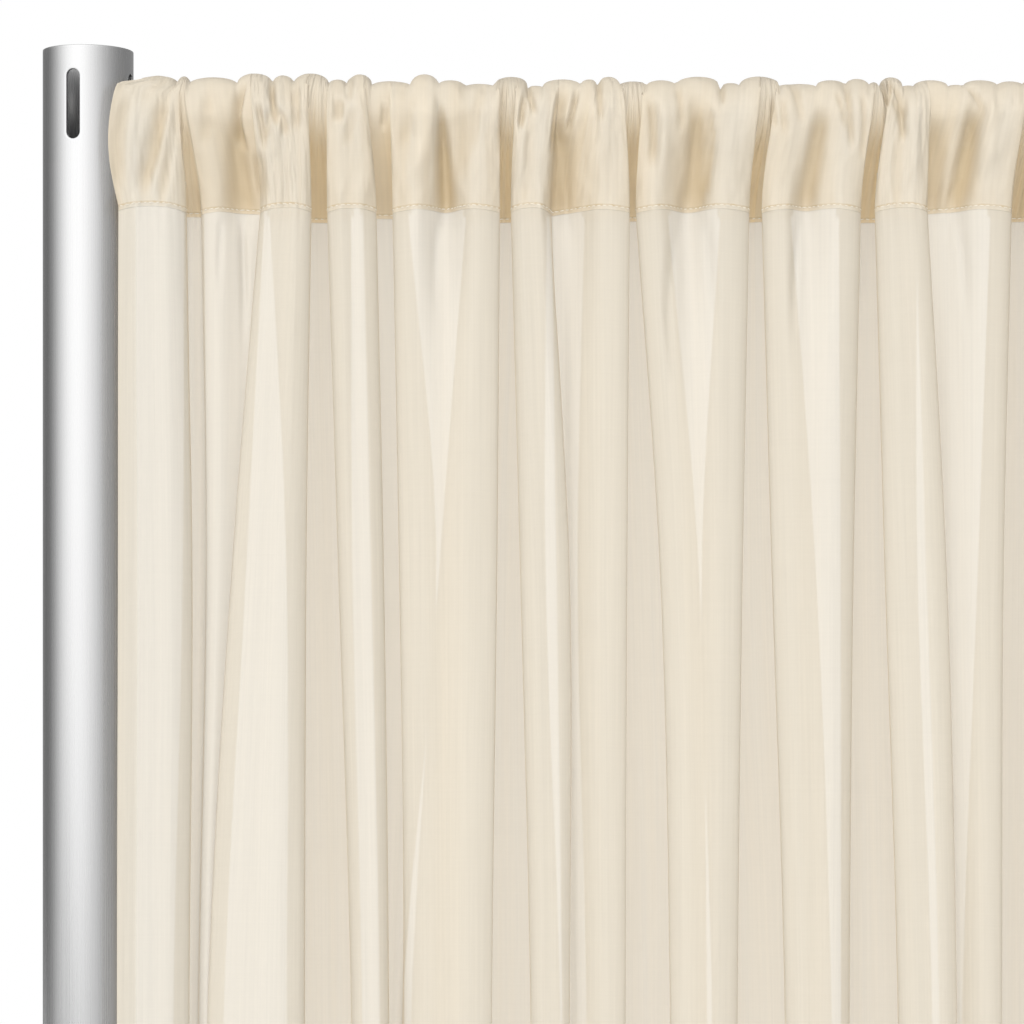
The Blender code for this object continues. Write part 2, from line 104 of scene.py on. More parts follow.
LAYER_GAP = 0.0018  # between the pocket's two layers where they are sewn
GAP_FADE = 4  # how fast that gap dies out up the back
GAP_FADE_ACROSS = 6  # and how late it does so sideways
BACK_CREASE_REACH = 0.5  # part of the back over which the creases change from the front's to its own
BACK_EDGE_LIFT = 0.0003  # how much higher the back layer ends than the stitched line
POCKET_CLEARANCE = 0.0020
BAR_ROOM = 0.0012  # least room between a crease and the crossbar
POCKET_FRONT_ROOM = 0.0115  # how far a fold stands out past the crossbar
POCKET_BACK_ROOM = 0.8  # and how far a valley stands out behind it, as a share of that
CROWN_PARTS = (0, 0.22, 0.5, 0.78, 1)  # where a face's knots cross the crossbar, as parts of its width
ARC_STEPS = 60
VALLEY_PUFF = 0.0055  # how far the pocket's valleys swell forward just under its top
VALLEY_PUFF_AT = 0.20  # where, as a part of the way from the top to the stitched line
VALLEY_PUFF_REACH = 0.16
END_BULGE = 0.0075  # how far the pocket's left end swells past the panel's side
END_BULGE_RIGHT = 0.6  # and its right end, as a share of that
END_BULGE_REACH = 0.012
END_BULGE_START = 0.25  # part of the way down to the stitched line over which the swelling starts
END_BULGE_POWER = 1.1
END_SQUARENESS = 0.48  # how squarely the pocket's ends stand over the crossbar
END_SQUARE_REACH = 0.014
PANEL_SIDE = 0.016
SIDE_ROOM = 0.0028
SIDE_ROOM_REACH = 0.060
SIDE_ROOM_BLEND = 0.0035
SIDE_HEM = 0.0105
BOTTOM_HEM = 0.0380
SEAM_EDGE = 0.0022  # from the stitched line to the edge of the cloth turned in behind it
DRAWN_LINE = (-0.0010, 0.0001)  # the strip that the stitches draw in, from the stitched line, where their shadow is painted
DRAWN_SOFT = 0.0004

# ---------------- small ripples and stitches

# Waves across the flat cloth: how high, in its kind's depth, how long, how far they follow the sway, and
# where they start.
Wave = namedtuple("Wave", "height length sway shift")
RIPPLES = [Wave(1.0, 0.0021, 1, 0), Wave(0.9, 0.0034, -1, 1.3), Wave(0.8, 0.0057, 0.5, 4.0)]
GATHERS = [Wave(1.0, 0.00098, 0.4, 0), Wave(0.9, 0.00137, 0, 2.0)]
# Slow waves over the cloth: how high, how long across and down it, and where they start. The ripples sway
# with the first, and come and go in patches with the second.
SlowWave = namedtuple("SlowWave", "height across down shift")
SWAY = SlowWave(0.9, 0.09, 0.021, 0)
PATCHES = SlowWave(0.45, 0.031, 0.045, 0.7)
PATCH_LEVEL = 0.55
RIPPLE_DEPTH = 0.00034  # of the soft ripples down the pocket
GATHER_DEPTH = 0.00016  # of the fine gathers at the stitched line
RIPPLE_REACH = 0.011  # how far the gathers run from the stitched line
RIPPLE_FADE = 1.5
RIPPLE_ENDS = 0.8  # how softly the ripples start and end in the pocket
SEAM_RIPPLE = 0.6  # share of the ripples' depth at the stitched line
RIPPLE_SPREAD = 1.25  # ripples die out where the folds draw the cloth together
RIPPLE_LEAST = 0.12
RIPPLE_SHADE_AND_HIGHLIGHT = 2.2  # how much more painted shade in its troughs, and painted highlight on its crests, a ripple gets than a crease of its depth
STITCH_PITCH = 0.0034
STITCH_LENGTH = 0.0026
STITCH_LENGTHS = (0.62, 1.12)  # shortest and longest, in that length
STITCH_THICKNESS = 0.00055
STITCH_SIDES = 6
STITCH_RINGS = 5
STITCH_SEED = 11
STITCH_WANDER = 0.00022  # how far a stitch's ends rise and fall from the line
STITCH_STAND_OFF = 0.4  # how far its middle lies off the cloth, in its thickness

# ---------------- the stand's own sizes

UPRIGHT_WALL = 0.002
SLOT_WIDTH = 0.0078
SLOT_LENGTH = 0.0388
SLOT_TOP_DROP = 0.0135
SLOT_COUNT = 4
SLOT_TURN = math.radians(-11)
SLOT_END_STEPS = 24  # steps round each end of a slot, and along the same side of its cell
SLOT_SIDE_STEPS = 8
CELL_DROP = 0.066  # height of the part of an upright that holds the slots
CELL_RINGS = 9
WELD = 0.00002  # vertices this near each other are one
SAME_HEIGHT = 0.0001
ROUND_SIDES = 96
ALONG_X = Matrix.Rotation(math.pi / 2, 4, "Y")
SMOOTH_UP_TO = math.radians(50)
RIM_BEVEL = 0.00035
CROSSBAR_WALL = 0.0016
PLUG_LENGTH = 0.040
PLUG_GAP = 0.0003
PIN_HEIGHT = 0.180
PIN_GAP = 0.0006
BASE_THICKNESS = 0.006
BASE_CORNER = 0.020
BASE_CORNER_STEPS = 10
BASE_BEVEL = 0.0012
BASE_BEVEL_STEPS = 3
HOOK_THICKNESS = 0.003
HOOK_LIP = 0.006  # width of the lip that hangs inside the slot
HOOK_TOP = 0.75  # how high the hook's plate reaches on the collar, in the crossbar's radius
HOOK_BEVEL = 0.0004
COLLAR_LENGTH = 0.004

# ---------------- the panel's folds

# The panel's folds from left to right, one row for each face of the cloth between two turns, in
# millimetres. *_crown, *_top, *_mid and *_low are where the face turns, from the left upright's axis, over
# the crossbar, at the stitched line, at MID_DROP and at LOW_DROP. back_* is how far behind the crossbar's
# axis that turn lies. bow_* is how far the left and right halves of the face stand behind the line between
# its turns. dip_at is where the face has a shallow dip under the stitched line, as a part of its width, and
# dip is that dip's depth.
Fold = namedtuple("Fold", "name left_crown right_crown left_top right_top left_mid right_mid left_low"
                          " right_low back_left back_right bow_left bow_right dip_at dip")
FOLDS = [Fold(*row) for row in (
    ("left_hem_fold", 26, 54.7, 22, 57.5, 21.5, 61.5, 21, 60, -36, -24, -2, -7, 0.50, 0),
    ("first_valley", 54.7, 56.7, 53, 66, 52, 67, 44.5, 62, 0, 0, 4, 4, 0.50, 0),
    ("set_back_fold", 56.7, 93.5, 66, 100.5, 69, 91, 65, 78, -13, -9, -5, 0, 0.62, 3),
    ("leaning_fold", 93.5, 126.3, 99.5, 128, 84, 125, 70, 124, -22, -22, -6, -8, 0.50, 0),
    ("second_valley", 126.3, 137.1, 102, 148, 111.5, 148.5, 112, 154, 16, 18, 7, 7, 0.50, 0),
    ("narrow_fold", 137.1, 157.4, 136.5, 164, 142.5, 168, 150, 171, -20, -19, -7, -7, 0.50, 0),
    ("third_valley", 157.4, 171.5, 155.5, 181, 160, 197, 165, 177.5, 5, 7, 4, 4, 0.50, 0),
    ("widening_fold", 171.5, 232.9, 173, 233, 176.5, 231.5, 180, 228.5, -18, -22, -8, -8, 0.48, 14),
    ("fourth_valley", 232.9, 242, 213.5, 259.5, 199, 258.5, 182.5, 267, 19, 16, 6, 6, 0.50, 0),
    ("straight_fold", 242, 266.2, 239, 260.5, 244, 271.5, 250, 272, -20, -23, -7, -7, 0.50, 0),
    ("tucked_fold", 266.2, 301.2, 262.5, 305.3, 264.5, 304, 268, 303, -9, -22, 1, -9, 0.26, 5),
    ("fifth_valley", 301.2, 312.5, 281, 328, 277, 345, 282, 350, 18, 8, 7, 7, 0.50, 0),
    ("broad_fold", 312.5, 379, 308.7, 372, 322, 368.5, 328, 365.5, -18, -22, -8, -8, 0.45, 15),
    ("sixth_valley", 379, 387.5, 358.5, 398, 348, 411.5, 354, 421, 22, 12, 5, 5, 0.50, 0),
    ("soft_fold", 387.5, 442.7, 379, 434, 384.5, 430, 392, 427.5, -19, -22, -8, -8, 0.46, 10),
    ("seventh_valley", 442.7, 450, 426, 470, 427, 470, 427.5, 478.5, 18, 16, 7, 7, 0.50, 0),
    ("upright_fold", 450, 472.1, 442, 471, 447.5, 481.5, 455, 487.5, -20, -24, -7, -7, 0.50, 0),
    ("under_fold", 472.1, 527.4, 466, 518, 472, 514, 479.5, 513, -9, -22, 1, -9, 0.34, 5),
    ("eighth_valley", 527.4, 536, 512, 537, 505, 539, 496, 543, 17, 14, 6, 6, 0.50, 0),
    ("ninth_fold", 536, 557, 529, 556, 530, 557, 534, 558, -20, -20, -7, -7, 0.50, 0),
    ("ninth_valley", 557, 563, 550, 570, 550, 571, 549, 572, 8, 6, 5, 5, 0.50, 0),
    ("right_hem_fold", 563, 584, 563, 588, 564, 588.5, 566, 589, -19, -24, -7, -7, 0.50, 0),
)]

# The puffs that stand up over the crossbar, from left to right: where each one ends on its right, from the
# left upright's axis, and how high it rises. Millimetres.
Puff = namedtuple("Puff", "right rise")
PUFFS_LEFT = 20.0
PUFFS = [Puff(*row) for row in (
    (49, 7.4), (58, 7.2), (85.4, 6.7), (104.9, 8.9), (117, 7.8), (136.5, 8.9), (147, 5.5),
    (160.8, 8.4), (183, 4.4), (198, 8.4), (213, 5), (230, 2.9), (248.3, 7), (257.4, 1.8),
    (278.3, 5.5), (288.1, 5.5), (300, 7), (315.2, 4.4), (332, 5), (356.5, 7), (368, 3.4),
    (389.1, 7.2), (410.6, 2.9), (427.2, 5), (440, 5.8), (447, 3.9), (458.5, 6.7), (465.9, 2),
    (484, 5), (493.5, 2.2), (512.4, 5), (527, 4.4), (545, 6), (560, 4.5), (573, 6),
    (584, 4.5),
)]
PUFF_REACH = 0.020  # how far the puffs run down from the crown
PUFF_PINCH = 0.35  # how high the pinch between two puffs stays, as a part of the puff
PUFF_LIFT = 0.4  # share of a puff that lifts the pocket off the crossbar
PUFF_SWELL = 0.6  # and share of it that swells the cloth outward

# Creases in the cloth, as lines down its front. *_x is from the left upright's axis, *_drop is below the
# uprights' top. A crease is as wide as its left and right width at its top and spread times as wide at its
# low end. depth is how far it goes into the cloth: less than nothing is a ridge. Millimetres.
Crease = namedtuple("Crease", "name top_x mid_x low_x top_drop low_drop left_width right_width depth spread",
                    defaults=(1.0,))
CREASES = [Crease(*row) for row in (
    ("hem_side", 33, 27.5, 25, 20, 90, 2.6, 3, 1.8),
    ("hem_slant", 49.5, 43, 33, 24, 92, 5, 3, 3.2),
    ("hem_slant_soft", 54.5, 51, 44, 26, 96, 3, 2.6, 1.5),
    ("set_back_shade", 85.5, 87.5, 90, 40, 106, 4, 4.5, 4.6, 2.2),
    ("lobe_edge", 92.8, 88.8, 93, 22, 62, 4, 0.8, 4.4),
    ("lobe_shade", 97, 99, 100.5, 58, 90, 3, 4, 2.2),
    ("lobe_pinch", 105.6, 107.2, 109.6, 20, 50, 1.2, 1.7, 3.6, 1.6),
    ("lobe_tuck_right", 109.9, 112.8, 113.6, 35, 54, 1.8, 2, 2.4),
    ("lobe_tuck_middle", 105, 104.2, 103.6, 36, 56, 1.5, 1.7, 2),
    ("lobe_tuck_left", 98.5, 101.5, 102.5, 32, 62, 2, 1.6, 2.2),
    ("lobe_ridge", 107.5, 108, 107, 42, 66, 2, 2, -1.3),
    ("narrow_dimple", 144.3, 144, 143.2, 30, 46, 3, 2.4, 2.4),
    ("narrow_pinch", 149.8, 149.9, 149.4, 18, 34, 1.8, 1.8, 1.2),
    ("narrow_soft", 152.5, 150, 147.9, 34, 60, 3, 2.5, 1.2),
    ("valley_tuck", 169.5, 168.5, 166.8, 34, 48, 1.8, 2.2, 1.8),
    ("widening_ridge", 193.5, 192, 183, 26, 82, 5.5, 4.5, -2.4),
    ("widening_soft", 186.5, 183, 178, 24, 62, 3, 3.5, 1.4),
    ("widening_wedge", 199.8, 201.9, 205.6, 28, 108, 1.5, 1.5, 6.8, 4.6),
    ("widening_lean", 216, 213, 209, 30, 80, 4, 5, 1.6),
    ("straight_arc", 247.6, 250, 252.8, 20, 42, 1.4, 1.8, 2.2),
    ("straight_ridge", 246, 243.5, 246, 40, 84, 4, 4, -1.4),
    ("tucked_edge", 266.4, 262.6, 261.6, 24, 64, 0.7, 5, 4.2),
    ("tucked_shade", 267.5, 266.5, 263.5, 40, 108, 4, 5.5, 5.2, 1.5),
    ("tucked_pinch", 276.4, 273.6, 270.6, 26, 52, 2, 1.1, 3.2),
    ("tucked_tuck", 288, 288.2, 288.8, 18, 46, 1.5, 1.8, 2.4),
    ("tucked_ridge", 284, 284.5, 286, 30, 80, 3.5, 3.5, -1.2),
    ("broad_dimple", 316, 318.6, 316.5, 28, 74, 2.4, 3, 3),
    ("broad_ridge", 322.5, 323, 322, 26, 76, 3.5, 4, -1.6),
    ("broad_wedge", 341, 342.4, 337, 26, 108, 3.6, 3.6, 4.8, 1.9),
    ("broad_overlap", 350.4, 351.4, 343.6, 30, 98, 4, 0.7, 3.6),
    ("broad_pinch", 356.8, 356.6, 357, 18, 36, 1.4, 1.6, 2.2),
    ("broad_edge", 350, 352, 349, 30, 62, 1.6, 3, -1.6),
    ("soft_tuck_left", 383.5, 385, 386, 30, 50, 1.6, 1.6, 1.6),
    ("soft_tuck_right", 389.5, 390.5, 392, 28, 54, 1.8, 2, 1.4),
    ("soft_slant", 412.8, 407.5, 400, 32, 106, 4, 3, 4.6, 1.9),
    ("soft_line_left", 419.5, 423, 424.5, 26, 50, 1.4, 1.8, 1.8),
    ("soft_line_right", 425.5, 427, 428, 20, 62, 1.6, 1.8, 2.6),
    ("soft_line_last", 433.5, 435, 433, 24, 70, 1.6, 1.6, 1.6),
    ("fourth_side", 235.6, 233, 231.6, 20, 66, 0.8, 2.8, 1.6),
    ("straight_tuck", 246.6, 245, 243.4, 26, 52, 1.2, 2.2, 2.6),
    ("upright_tuck", 451.8, 455.4, 457, 22, 46, 1.6, 2.8, 2.6),
    ("right_of_lobe", 118.5, 119.5, 118.8, 22, 52, 2.2, 2.6, 1.8),
    ("crown_soft_left", 71, 70, 69, 26, 60, 3.2, 3.2, 1.5),
    ("crown_soft_wide", 222, 219.5, 217.5, 22, 66, 2.6, 3.2, 1.6),
    ("broad_crown", 331.5, 333.5, 334, 22, 50, 2, 2, 2),
    ("soft_crown", 396.5, 399, 401, 20, 48, 2.4, 2.4, 1.6),
    ("twist_left", 445.4, 446.6, 449, 18, 38, 1.2, 1.2, 2.6),
    ("twist_right", 451, 449.6, 446.8, 20, 36, 1.3, 1.3, 2.2),
    ("upright_slant", 450.5, 455.5, 458, 28, 58, 2, 2.6, 2.2),
    ("upright_ridge", 460, 461.5, 461, 30, 80, 4, 3.5, -1.4),
    ("under_shade", 474.5, 475, 476, 38, 104, 3, 6, 3.4),
    ("under_slant", 497, 493, 485, 30, 106, 4, 3.4, 5.8, 1.9),
    ("under_arc", 491.5, 500.5, 499, 24, 48, 1.8, 2.2, 2),
    ("under_ridge", 505.5, 504.5, 503, 28, 78, 3.5, 4.5, -1.6),
    ("ninth_slant", 550, 546, 542, 30, 76, 3, 3, 3),
    ("right_hem_slant", 572, 574, 577, 30, 76, 3, 3, 2.6),
    ("set_back_gather", 88.2, 89, 90, 94, 160, 2, 2, 2),
    ("set_back_line", 77, 76, 75, 94, 138, 1.6, 2, 1.2),
    ("widening_gather", 197.4, 196.4, 195.6, 94, 146, 1.6, 2.2, 1.6),
    ("broad_gather", 334.5, 326, 333, 98, 190, 2.2, 2.2, 2.2),
    ("broad_line", 348, 350, 351, 96, 152, 2, 2, 1.2),
    ("soft_gather", 399.5, 397, 395, 96, 158, 2, 2, 2),
    ("seventh_gather", 437.5, 439.5, 441.5, 104, 140, 1.6, 1.6, 1.2),
    ("under_gather", 489, 492, 493, 96, 150, 2, 2.2, 1.6),
)]
CREASE_START = 0.26  # parts of a crease's length over which it starts and ends
CREASE_END = 0.34
CREASE_EDGE = 2.6  # how steep a crease's sides are
CREASE_STRENGTH = 1.25
BACK_CREASE = 0.4  # how deep the front's creases go in the pocket's back layer

# Steps that the cloth takes from one knot of a face to the next, and the knots of a face
KNOT_STEPS = 10
FACE_KNOTS = 5
FRONT_ROWS = 42
BACK_ROWS = 14
BODY_ROWS = 34
BODY_ROW_GROWTH = 3.0  # how much faster than evenly the rows spread out down the cloth
BODY_ROW_START = 0.03  # share of even spacing in them
SEAM_STIFF = 0.006  # how near the stitched line the cloth is only pushed straight in or out
SEAM_ROW = BACK_ROWS + FRONT_ROWS

# ---------------- the cloth's colours, its painted shade and its threads

CREASE_FULL_SHADE = 0.0075  # depth of crease at which the cloth has taken on its whole painted crease shade
CREASE_SHADE_SHARE = 1.00  # share of the painted crease shade colour there
EDGE_SHADE_SHARE = 0.8  # share of the painted valley shade colour where a fold turns
STITCH_SHADOW_SHARE = 1.2  # share of the painted crease shade colour along the stitched line, painted there as the stitches' shadow
DRAWN_SHADE = 0.10  # and how much darker that painted shadow makes the cloth
BODY_VALLEY_SHADE = 0.24  # share of the painted valley shade colour below the stitched line
VALLEY_SHADE_START = 0.86  # the painted shade in the pocket's valleys darkens down from here, as a part of the way up from the seam
VALLEY_SHADE_REACH = 0.46  # over this part of it
VALLEY_SHADE_POWER = 0.85
CROWN_SHADE = 0.20  # share of the painted valley shade colour along the pocket's top, painted shade there
FLANK_SHADE = 0.34  # and painted shade at the sides of a front fold of the pocket
FLANK_WIDTH = 4.5  # how far in from its sides that painted shade reaches, in millimetres
SIDE_TURN_POWER = 3.0  # how narrow the edges are where a fold turns away
SIDE_TURN_COVER = 0.25  # how much more of the view the cloth covers there

# Noise drawn out along the threads: its steps in each metre across and along the cloth, and its detail
Streaks = namedtuple("Streaks", "across along detail")
WARP = Streaks(900, 9, 3)
WEFT = Streaks(12, 900, 2)
SOFT = Streaks(160, 3, 2)
DRAWN = Streaks(420, 60, 1)
CRINKLE = Streaks(95, 24, 2)
WEFT_SHARE = 0.3
SOFT_SHARE = 0.8
STREAKS_MEAN = 1.05  # of the three together in those shares
VALLEY_SHADE_STREAKS = (0.9, 0.55)  # how far the painted valley shade comes in streaks, and how much of it is even
CRINKLE_HEIGHTS = (5.0, 0.6)  # how much more the pocket is crinkled, and how much all of the cloth is
SOFT_HEIGHT = 0.5
CLOTH_BUMP = (0.5, 0.0018)  # a bump's strength and its depth
CLOTH_ROUGHNESS = 0.5
HEM_BLEND = 0.0003  # how softly the edges of the hems and the pocket blend, in metres of cloth
THREAD_GRAIN = (4000.0, 2.0)  # a noise's scale and detail
THREAD_TONES = (0.92, 1.30)  # darkest and lightest, beside the cloth
THREAD_ROUGHNESS = 0.55

# ---------------- the stand's surfaces

# Brushed metal: its roughness, the scratches in each metre along and across it, and how much they show
Metal = namedtuple("Metal", "roughness length fineness strength")
ALUMINIUM = Metal(0.28, 5.0, 2400.0, 0.07)
STEEL = Metal(0.45, 300.0, 500.0, 0.10)
STEEL_TONE = 0.85  # beside the aluminium
SCRATCH_DETAIL = 3.0
SCRATCH_ROUGHNESS = 0.06
SCRATCH_BUMP = (0.08, 0.0001)
COAT_COLOURS = ((0.034, 0.034, 0.036, 1), (0.056, 0.056, 0.058, 1))
COAT_GRAIN = (900.0, 3.0)
COAT_ROUGHNESS = (0.16, 0.46)  # how much the grain changes it, and its least
COAT_BUMP = (0.25, 0.0002)

# ---------------- the stage

CAMERA_PLACE = (-0.0653, -1.564, 2.1776)
CAMERA_LENS = 97.2
CAMERA_SENSOR = 36
FLOOR_COLOUR = (0.85, 0.85, 0.85, 1)
FLOOR_ROUGHNESS = 0.7
# Soft patches of the studio: where they lie, in degrees from the front, how high, and how narrow they are
Patch = namedtuple("Patch", "azimuth rise power")
KEY = Patch(-22.0, 0.35, 3.0)
FLAG = Patch(-112.0, 0.0, 8.0)
KEY_LIGHT = 2.15
FILL_LIGHT = 0.45
FLAG_SHADE = 0.62  # how much of the light the dark patch takes away


# ---------------- the cloth's shape

def run_along(points):
    """How far each point of a line lies from its first point, along it."""
    return np.concatenate([[0], np.cumsum(np.linalg.norm(np.diff(points, axis=0), axis=1))])


def smooth_curve(knots, values, at):
    """A curve through values at knots that hardly overshoots between them: cubic Hermite pieces."""
    knots = np.asarray(knots, float)
    values = np.asarray(values, float)
    shape = (-1,) + (1,) * (values.ndim - 1)
    steps = np.diff(knots)
    slopes = np.diff(values, axis=0) / steps.reshape(shape)
    before, after = steps[:-1].reshape(shape), steps[1:].reshape(shape)
    inner = (slopes[:-1] * after + slopes[1:] * before) / (before + after)
    tangents = np.concatenate([slopes[:1], inner, slopes[-1:]])
    index = np.clip(np.searchsorted(knots, at, side="right") - 1, 0, len(steps) - 1)
    step = steps[index]
    t = (at - knots[index]) / step
    t, step = t.reshape(shape), step.reshape(shape)
    return ((2 * t ** 3 - 3 * t ** 2 + 1) * values[index] + (t ** 3 - 2 * t ** 2 + t) * step * tangents[index]
            + (3 * t ** 2 - 2 * t ** 3) * values[index + 1] + (t ** 3 - t ** 2) * step * tangents[index + 1])


def along_heights(top, mid, low, drop):
    plumb = low + (low - mid) * PLUMB_RUN_ON
    heights = (SEAM_DROP, MID_DROP, LOW_DROP, PLUMB_DROP, TOP_Z)
    places = (top, mid, low, plumb, plumb)
    return float(smooth_curve(heights, places, np.array([max(drop, SEAM_DROP)]))[0])


def turns_at(drop):
    """Each face's left and right turn at one height, in millimetres."""
    return [[along_heights(fold.left_top, fold.left_mid, fold.left_low, drop),
             along_heights(fold.right_top, fold.right_mid, fold.right_low, drop)] for fold in FOLDS]


def section_knots(turns, depth_factor, fade):
    """The section's own points at one height: FACE_KNOTS for each face, in millimetres."""
    points = []
    for fold, (left, right) in zip(FOLDS, turns):
        middle_bow = (fold.bow_left + fold.bow_right) / 2 + fold.dip * fade
        stands_back = ((0, 0), (fold.dip_at * BOW_AT, fold.bow_left), (fold.dip_at, middle_bow),
                       (1 - (1 - fold.dip_at) * BOW_AT, fold.bow_right), (1, 0))
        for part, bow in stands_back:
            back = fold.back_left + (fold.back_right - fold.back_left) * part + bow
            points.append((left + (right - left) * part, back * depth_factor))
    return np.array(points)


def section(knots):
    """The cloth's middle line through the knots of one height, as x and y columns in millimetres."""
    lengths = np.linalg.norm(np.diff(knots, axis=0), axis=1) ** 0.5
    places = np.concatenate([[0], np.cumsum(lengths)])
    at = [places[0]]
    for start, end in zip(places[:-1], places[1:]):
        at.extend(start + (end - start) * (step + 1) / KNOT_STEPS for step in range(KNOT_STEPS))
    return smooth_curve(places, knots, np.array(at))


def section_at(drop, width):
    """The section at one height, as deep as it takes for the panel's whole width to fill it."""
    turns = turns_at(drop)
    fade = math.exp(-((max(drop - SEAM_DROP, 0) / DIP_FADE) ** 2))
    low, high = DEPTH_RANGE
    for _ in range(DEPTH_HALVINGS):
        factor = (low + high) / 2
        points = section(section_knots(turns, factor, fade))
        length = np.linalg.norm(np.diff(points, axis=0), axis=1).sum() * MM
        low, high = (factor, high) if length < width else (low, factor)
    return points * MM


def column_numbers():
    return np.arange((FACE_KNOTS * len(FOLDS) - 1) * KNOT_STEPS + 1)


def crown_columns():
    """Where each column of the sheet crosses over the crossbar."""
    x = [fold.left_crown + (fold.right_crown - fold.left_crown) * part
         for fold in FOLDS for part in CROWN_PARTS]
    at = np.linspace(0, len(x) - 1, len(column_numbers()))
    return np.interp(at, np.arange(len(x), dtype=float), x) * MM


def puff_rise(x):
    """How high the cloth puffs up over the crossbar, at places across the panel in metres."""
    ends = np.array([PUFFS_LEFT] + [puff.right for puff in PUFFS])
    rise = np.array([puff.rise for puff in PUFFS])
    index = np.clip(np.searchsorted(ends, x / MM) - 1, 0, len(PUFFS) - 1)
    across = (x / MM - ends[index]) / (ends[index + 1] - ends[index]) * 2 - 1
    round_top = np.sqrt(np.maximum(1 - np.clip(across, -1, 1) ** 2, 0))
    return rise[index] * (PUFF_PINCH + (1 - PUFF_PINCH) * round_top) * MM


def face_part():
    """Where each column lies across its own face, from 0 at one turn to 1 at the next."""
    face_steps = FACE_KNOTS * KNOT_STEPS
    return np.clip((column_numbers() % face_steps) / (face_steps - KNOT_STEPS), 0, 1)


def flanks():
    """How near each column is to the turns of its front face: 1 at a turn, 0 away from it."""
    part = face_part()
    widths = np.array([fold.right_crown - fold.left_crown for fold in FOLDS])
    width = widths[column_numbers() // (FACE_KNOTS * KNOT_STEPS)]
    return np.exp(-(np.minimum(part, 1 - part) * width / FLANK_WIDTH))


def pocket_path(seam_back, room, rise, seam_z, parts, square=0.0):
    """Points from the pocket's top down to the stitched line, on one side of the crossbar."""
    x, z = seam_back / room, seam_z / rise
    distance = math.hypot(x, z)
    leave = (math.atan2(x, z) % math.tau) - math.acos(1 / distance)
    angles = np.linspace(0, leave, ARC_STEPS)
    power = 1 - END_SQUARENESS * square
    path = np.column_stack([room * np.sin(angles) ** power,
                            rise * np.sign(np.cos(angles)) * np.abs(np.cos(angles)) ** power])
    path = np.vstack([path, [seam_back, seam_z]])
    run = run_along(path)
    at = np.array(parts) * run[-1]
    return np.column_stack([np.interp(at, run, path[:, 0]), np.interp(at, run, path[:, 1])])


def make_room_for_uprights(x, y):
    """Moves the cloth's ends in from the uprights wherever it passes beside or behind one."""
    clear = UPRIGHT_RADIUS + SIDE_ROOM
    shrink = (SIDE_ROOM_REACH - clear) / (SIDE_ROOM_REACH - PANEL_SIDE)
    beside = np.clip((y + clear) / SIDE_ROOM_BLEND, 0, 1)
    from_left = np.maximum(SIDE_ROOM_REACH - x, 0)
    from_right = np.maximum(x - (2 * AXIS_X - SIDE_ROOM_REACH), 0)
    return x + beside * (1 - shrink) * (from_left - from_right)


def smoothstep(x):
    x = np.clip(x, 0, 1)
    return x * x * (3 - 2 * x)


def crease_depth(x, drop):
    """How far the creases take the cloth in at each point, in metres."""
    x, drop = x / MM, drop / MM
    depth = np.zeros_like(x)
    for crease in CREASES:
        length = crease.low_drop - crease.top_drop
        t = np.clip((drop - crease.top_drop) / length, 0, 1)
        line = (crease.top_x * (1 - t) * (1 - 2 * t) + crease.mid_x * 4 * t * (1 - t)
                + crease.low_x * t * (2 * t - 1))
        width = np.where(x < line, crease.left_width, crease.right_width) * (1 + (crease.spread - 1) * t)
        ends = (smoothstep((drop - crease.top_drop) / (CREASE_START * length))
                * smoothstep((crease.low_drop - drop) / (CREASE_END * length)))
        depth += CREASE_STRENGTH * crease.depth * np.exp(-np.abs((x - line) / width) ** CREASE_EDGE) * ends
    return depth * MM


def waves(kind, across, sway):
    return sum(wave.height * np.sin(across / wave.length + wave.sway * sway + wave.shift) for wave in kind)


def slow_wave(wave, across, down):
    return wave.height * np.sin(down / wave.down + across / wave.across + wave.shift)


def ripples(across, from_seam, front_part):
    """The small ripples down the pocket, and those that the stitched line draws in on both sides of it."""
    sway = slow_wave(SWAY, across, from_seam)
    patches = PATCH_LEVEL + slow_wave(PATCHES, across, from_seam)
    near_seam = np.exp(-(from_seam / RIPPLE_REACH) ** RIPPLE_FADE)
    in_pocket = np.sin(math.pi * np.clip(front_part, 0, 1)) ** RIPPLE_ENDS
    return (RIPPLE_DEPTH * waves(RIPPLES, across, sway) * (patches * in_pocket + SEAM_RIPPLE * near_seam)
            + GATHER_DEPTH * waves(GATHERS, across, sway) * near_seam)


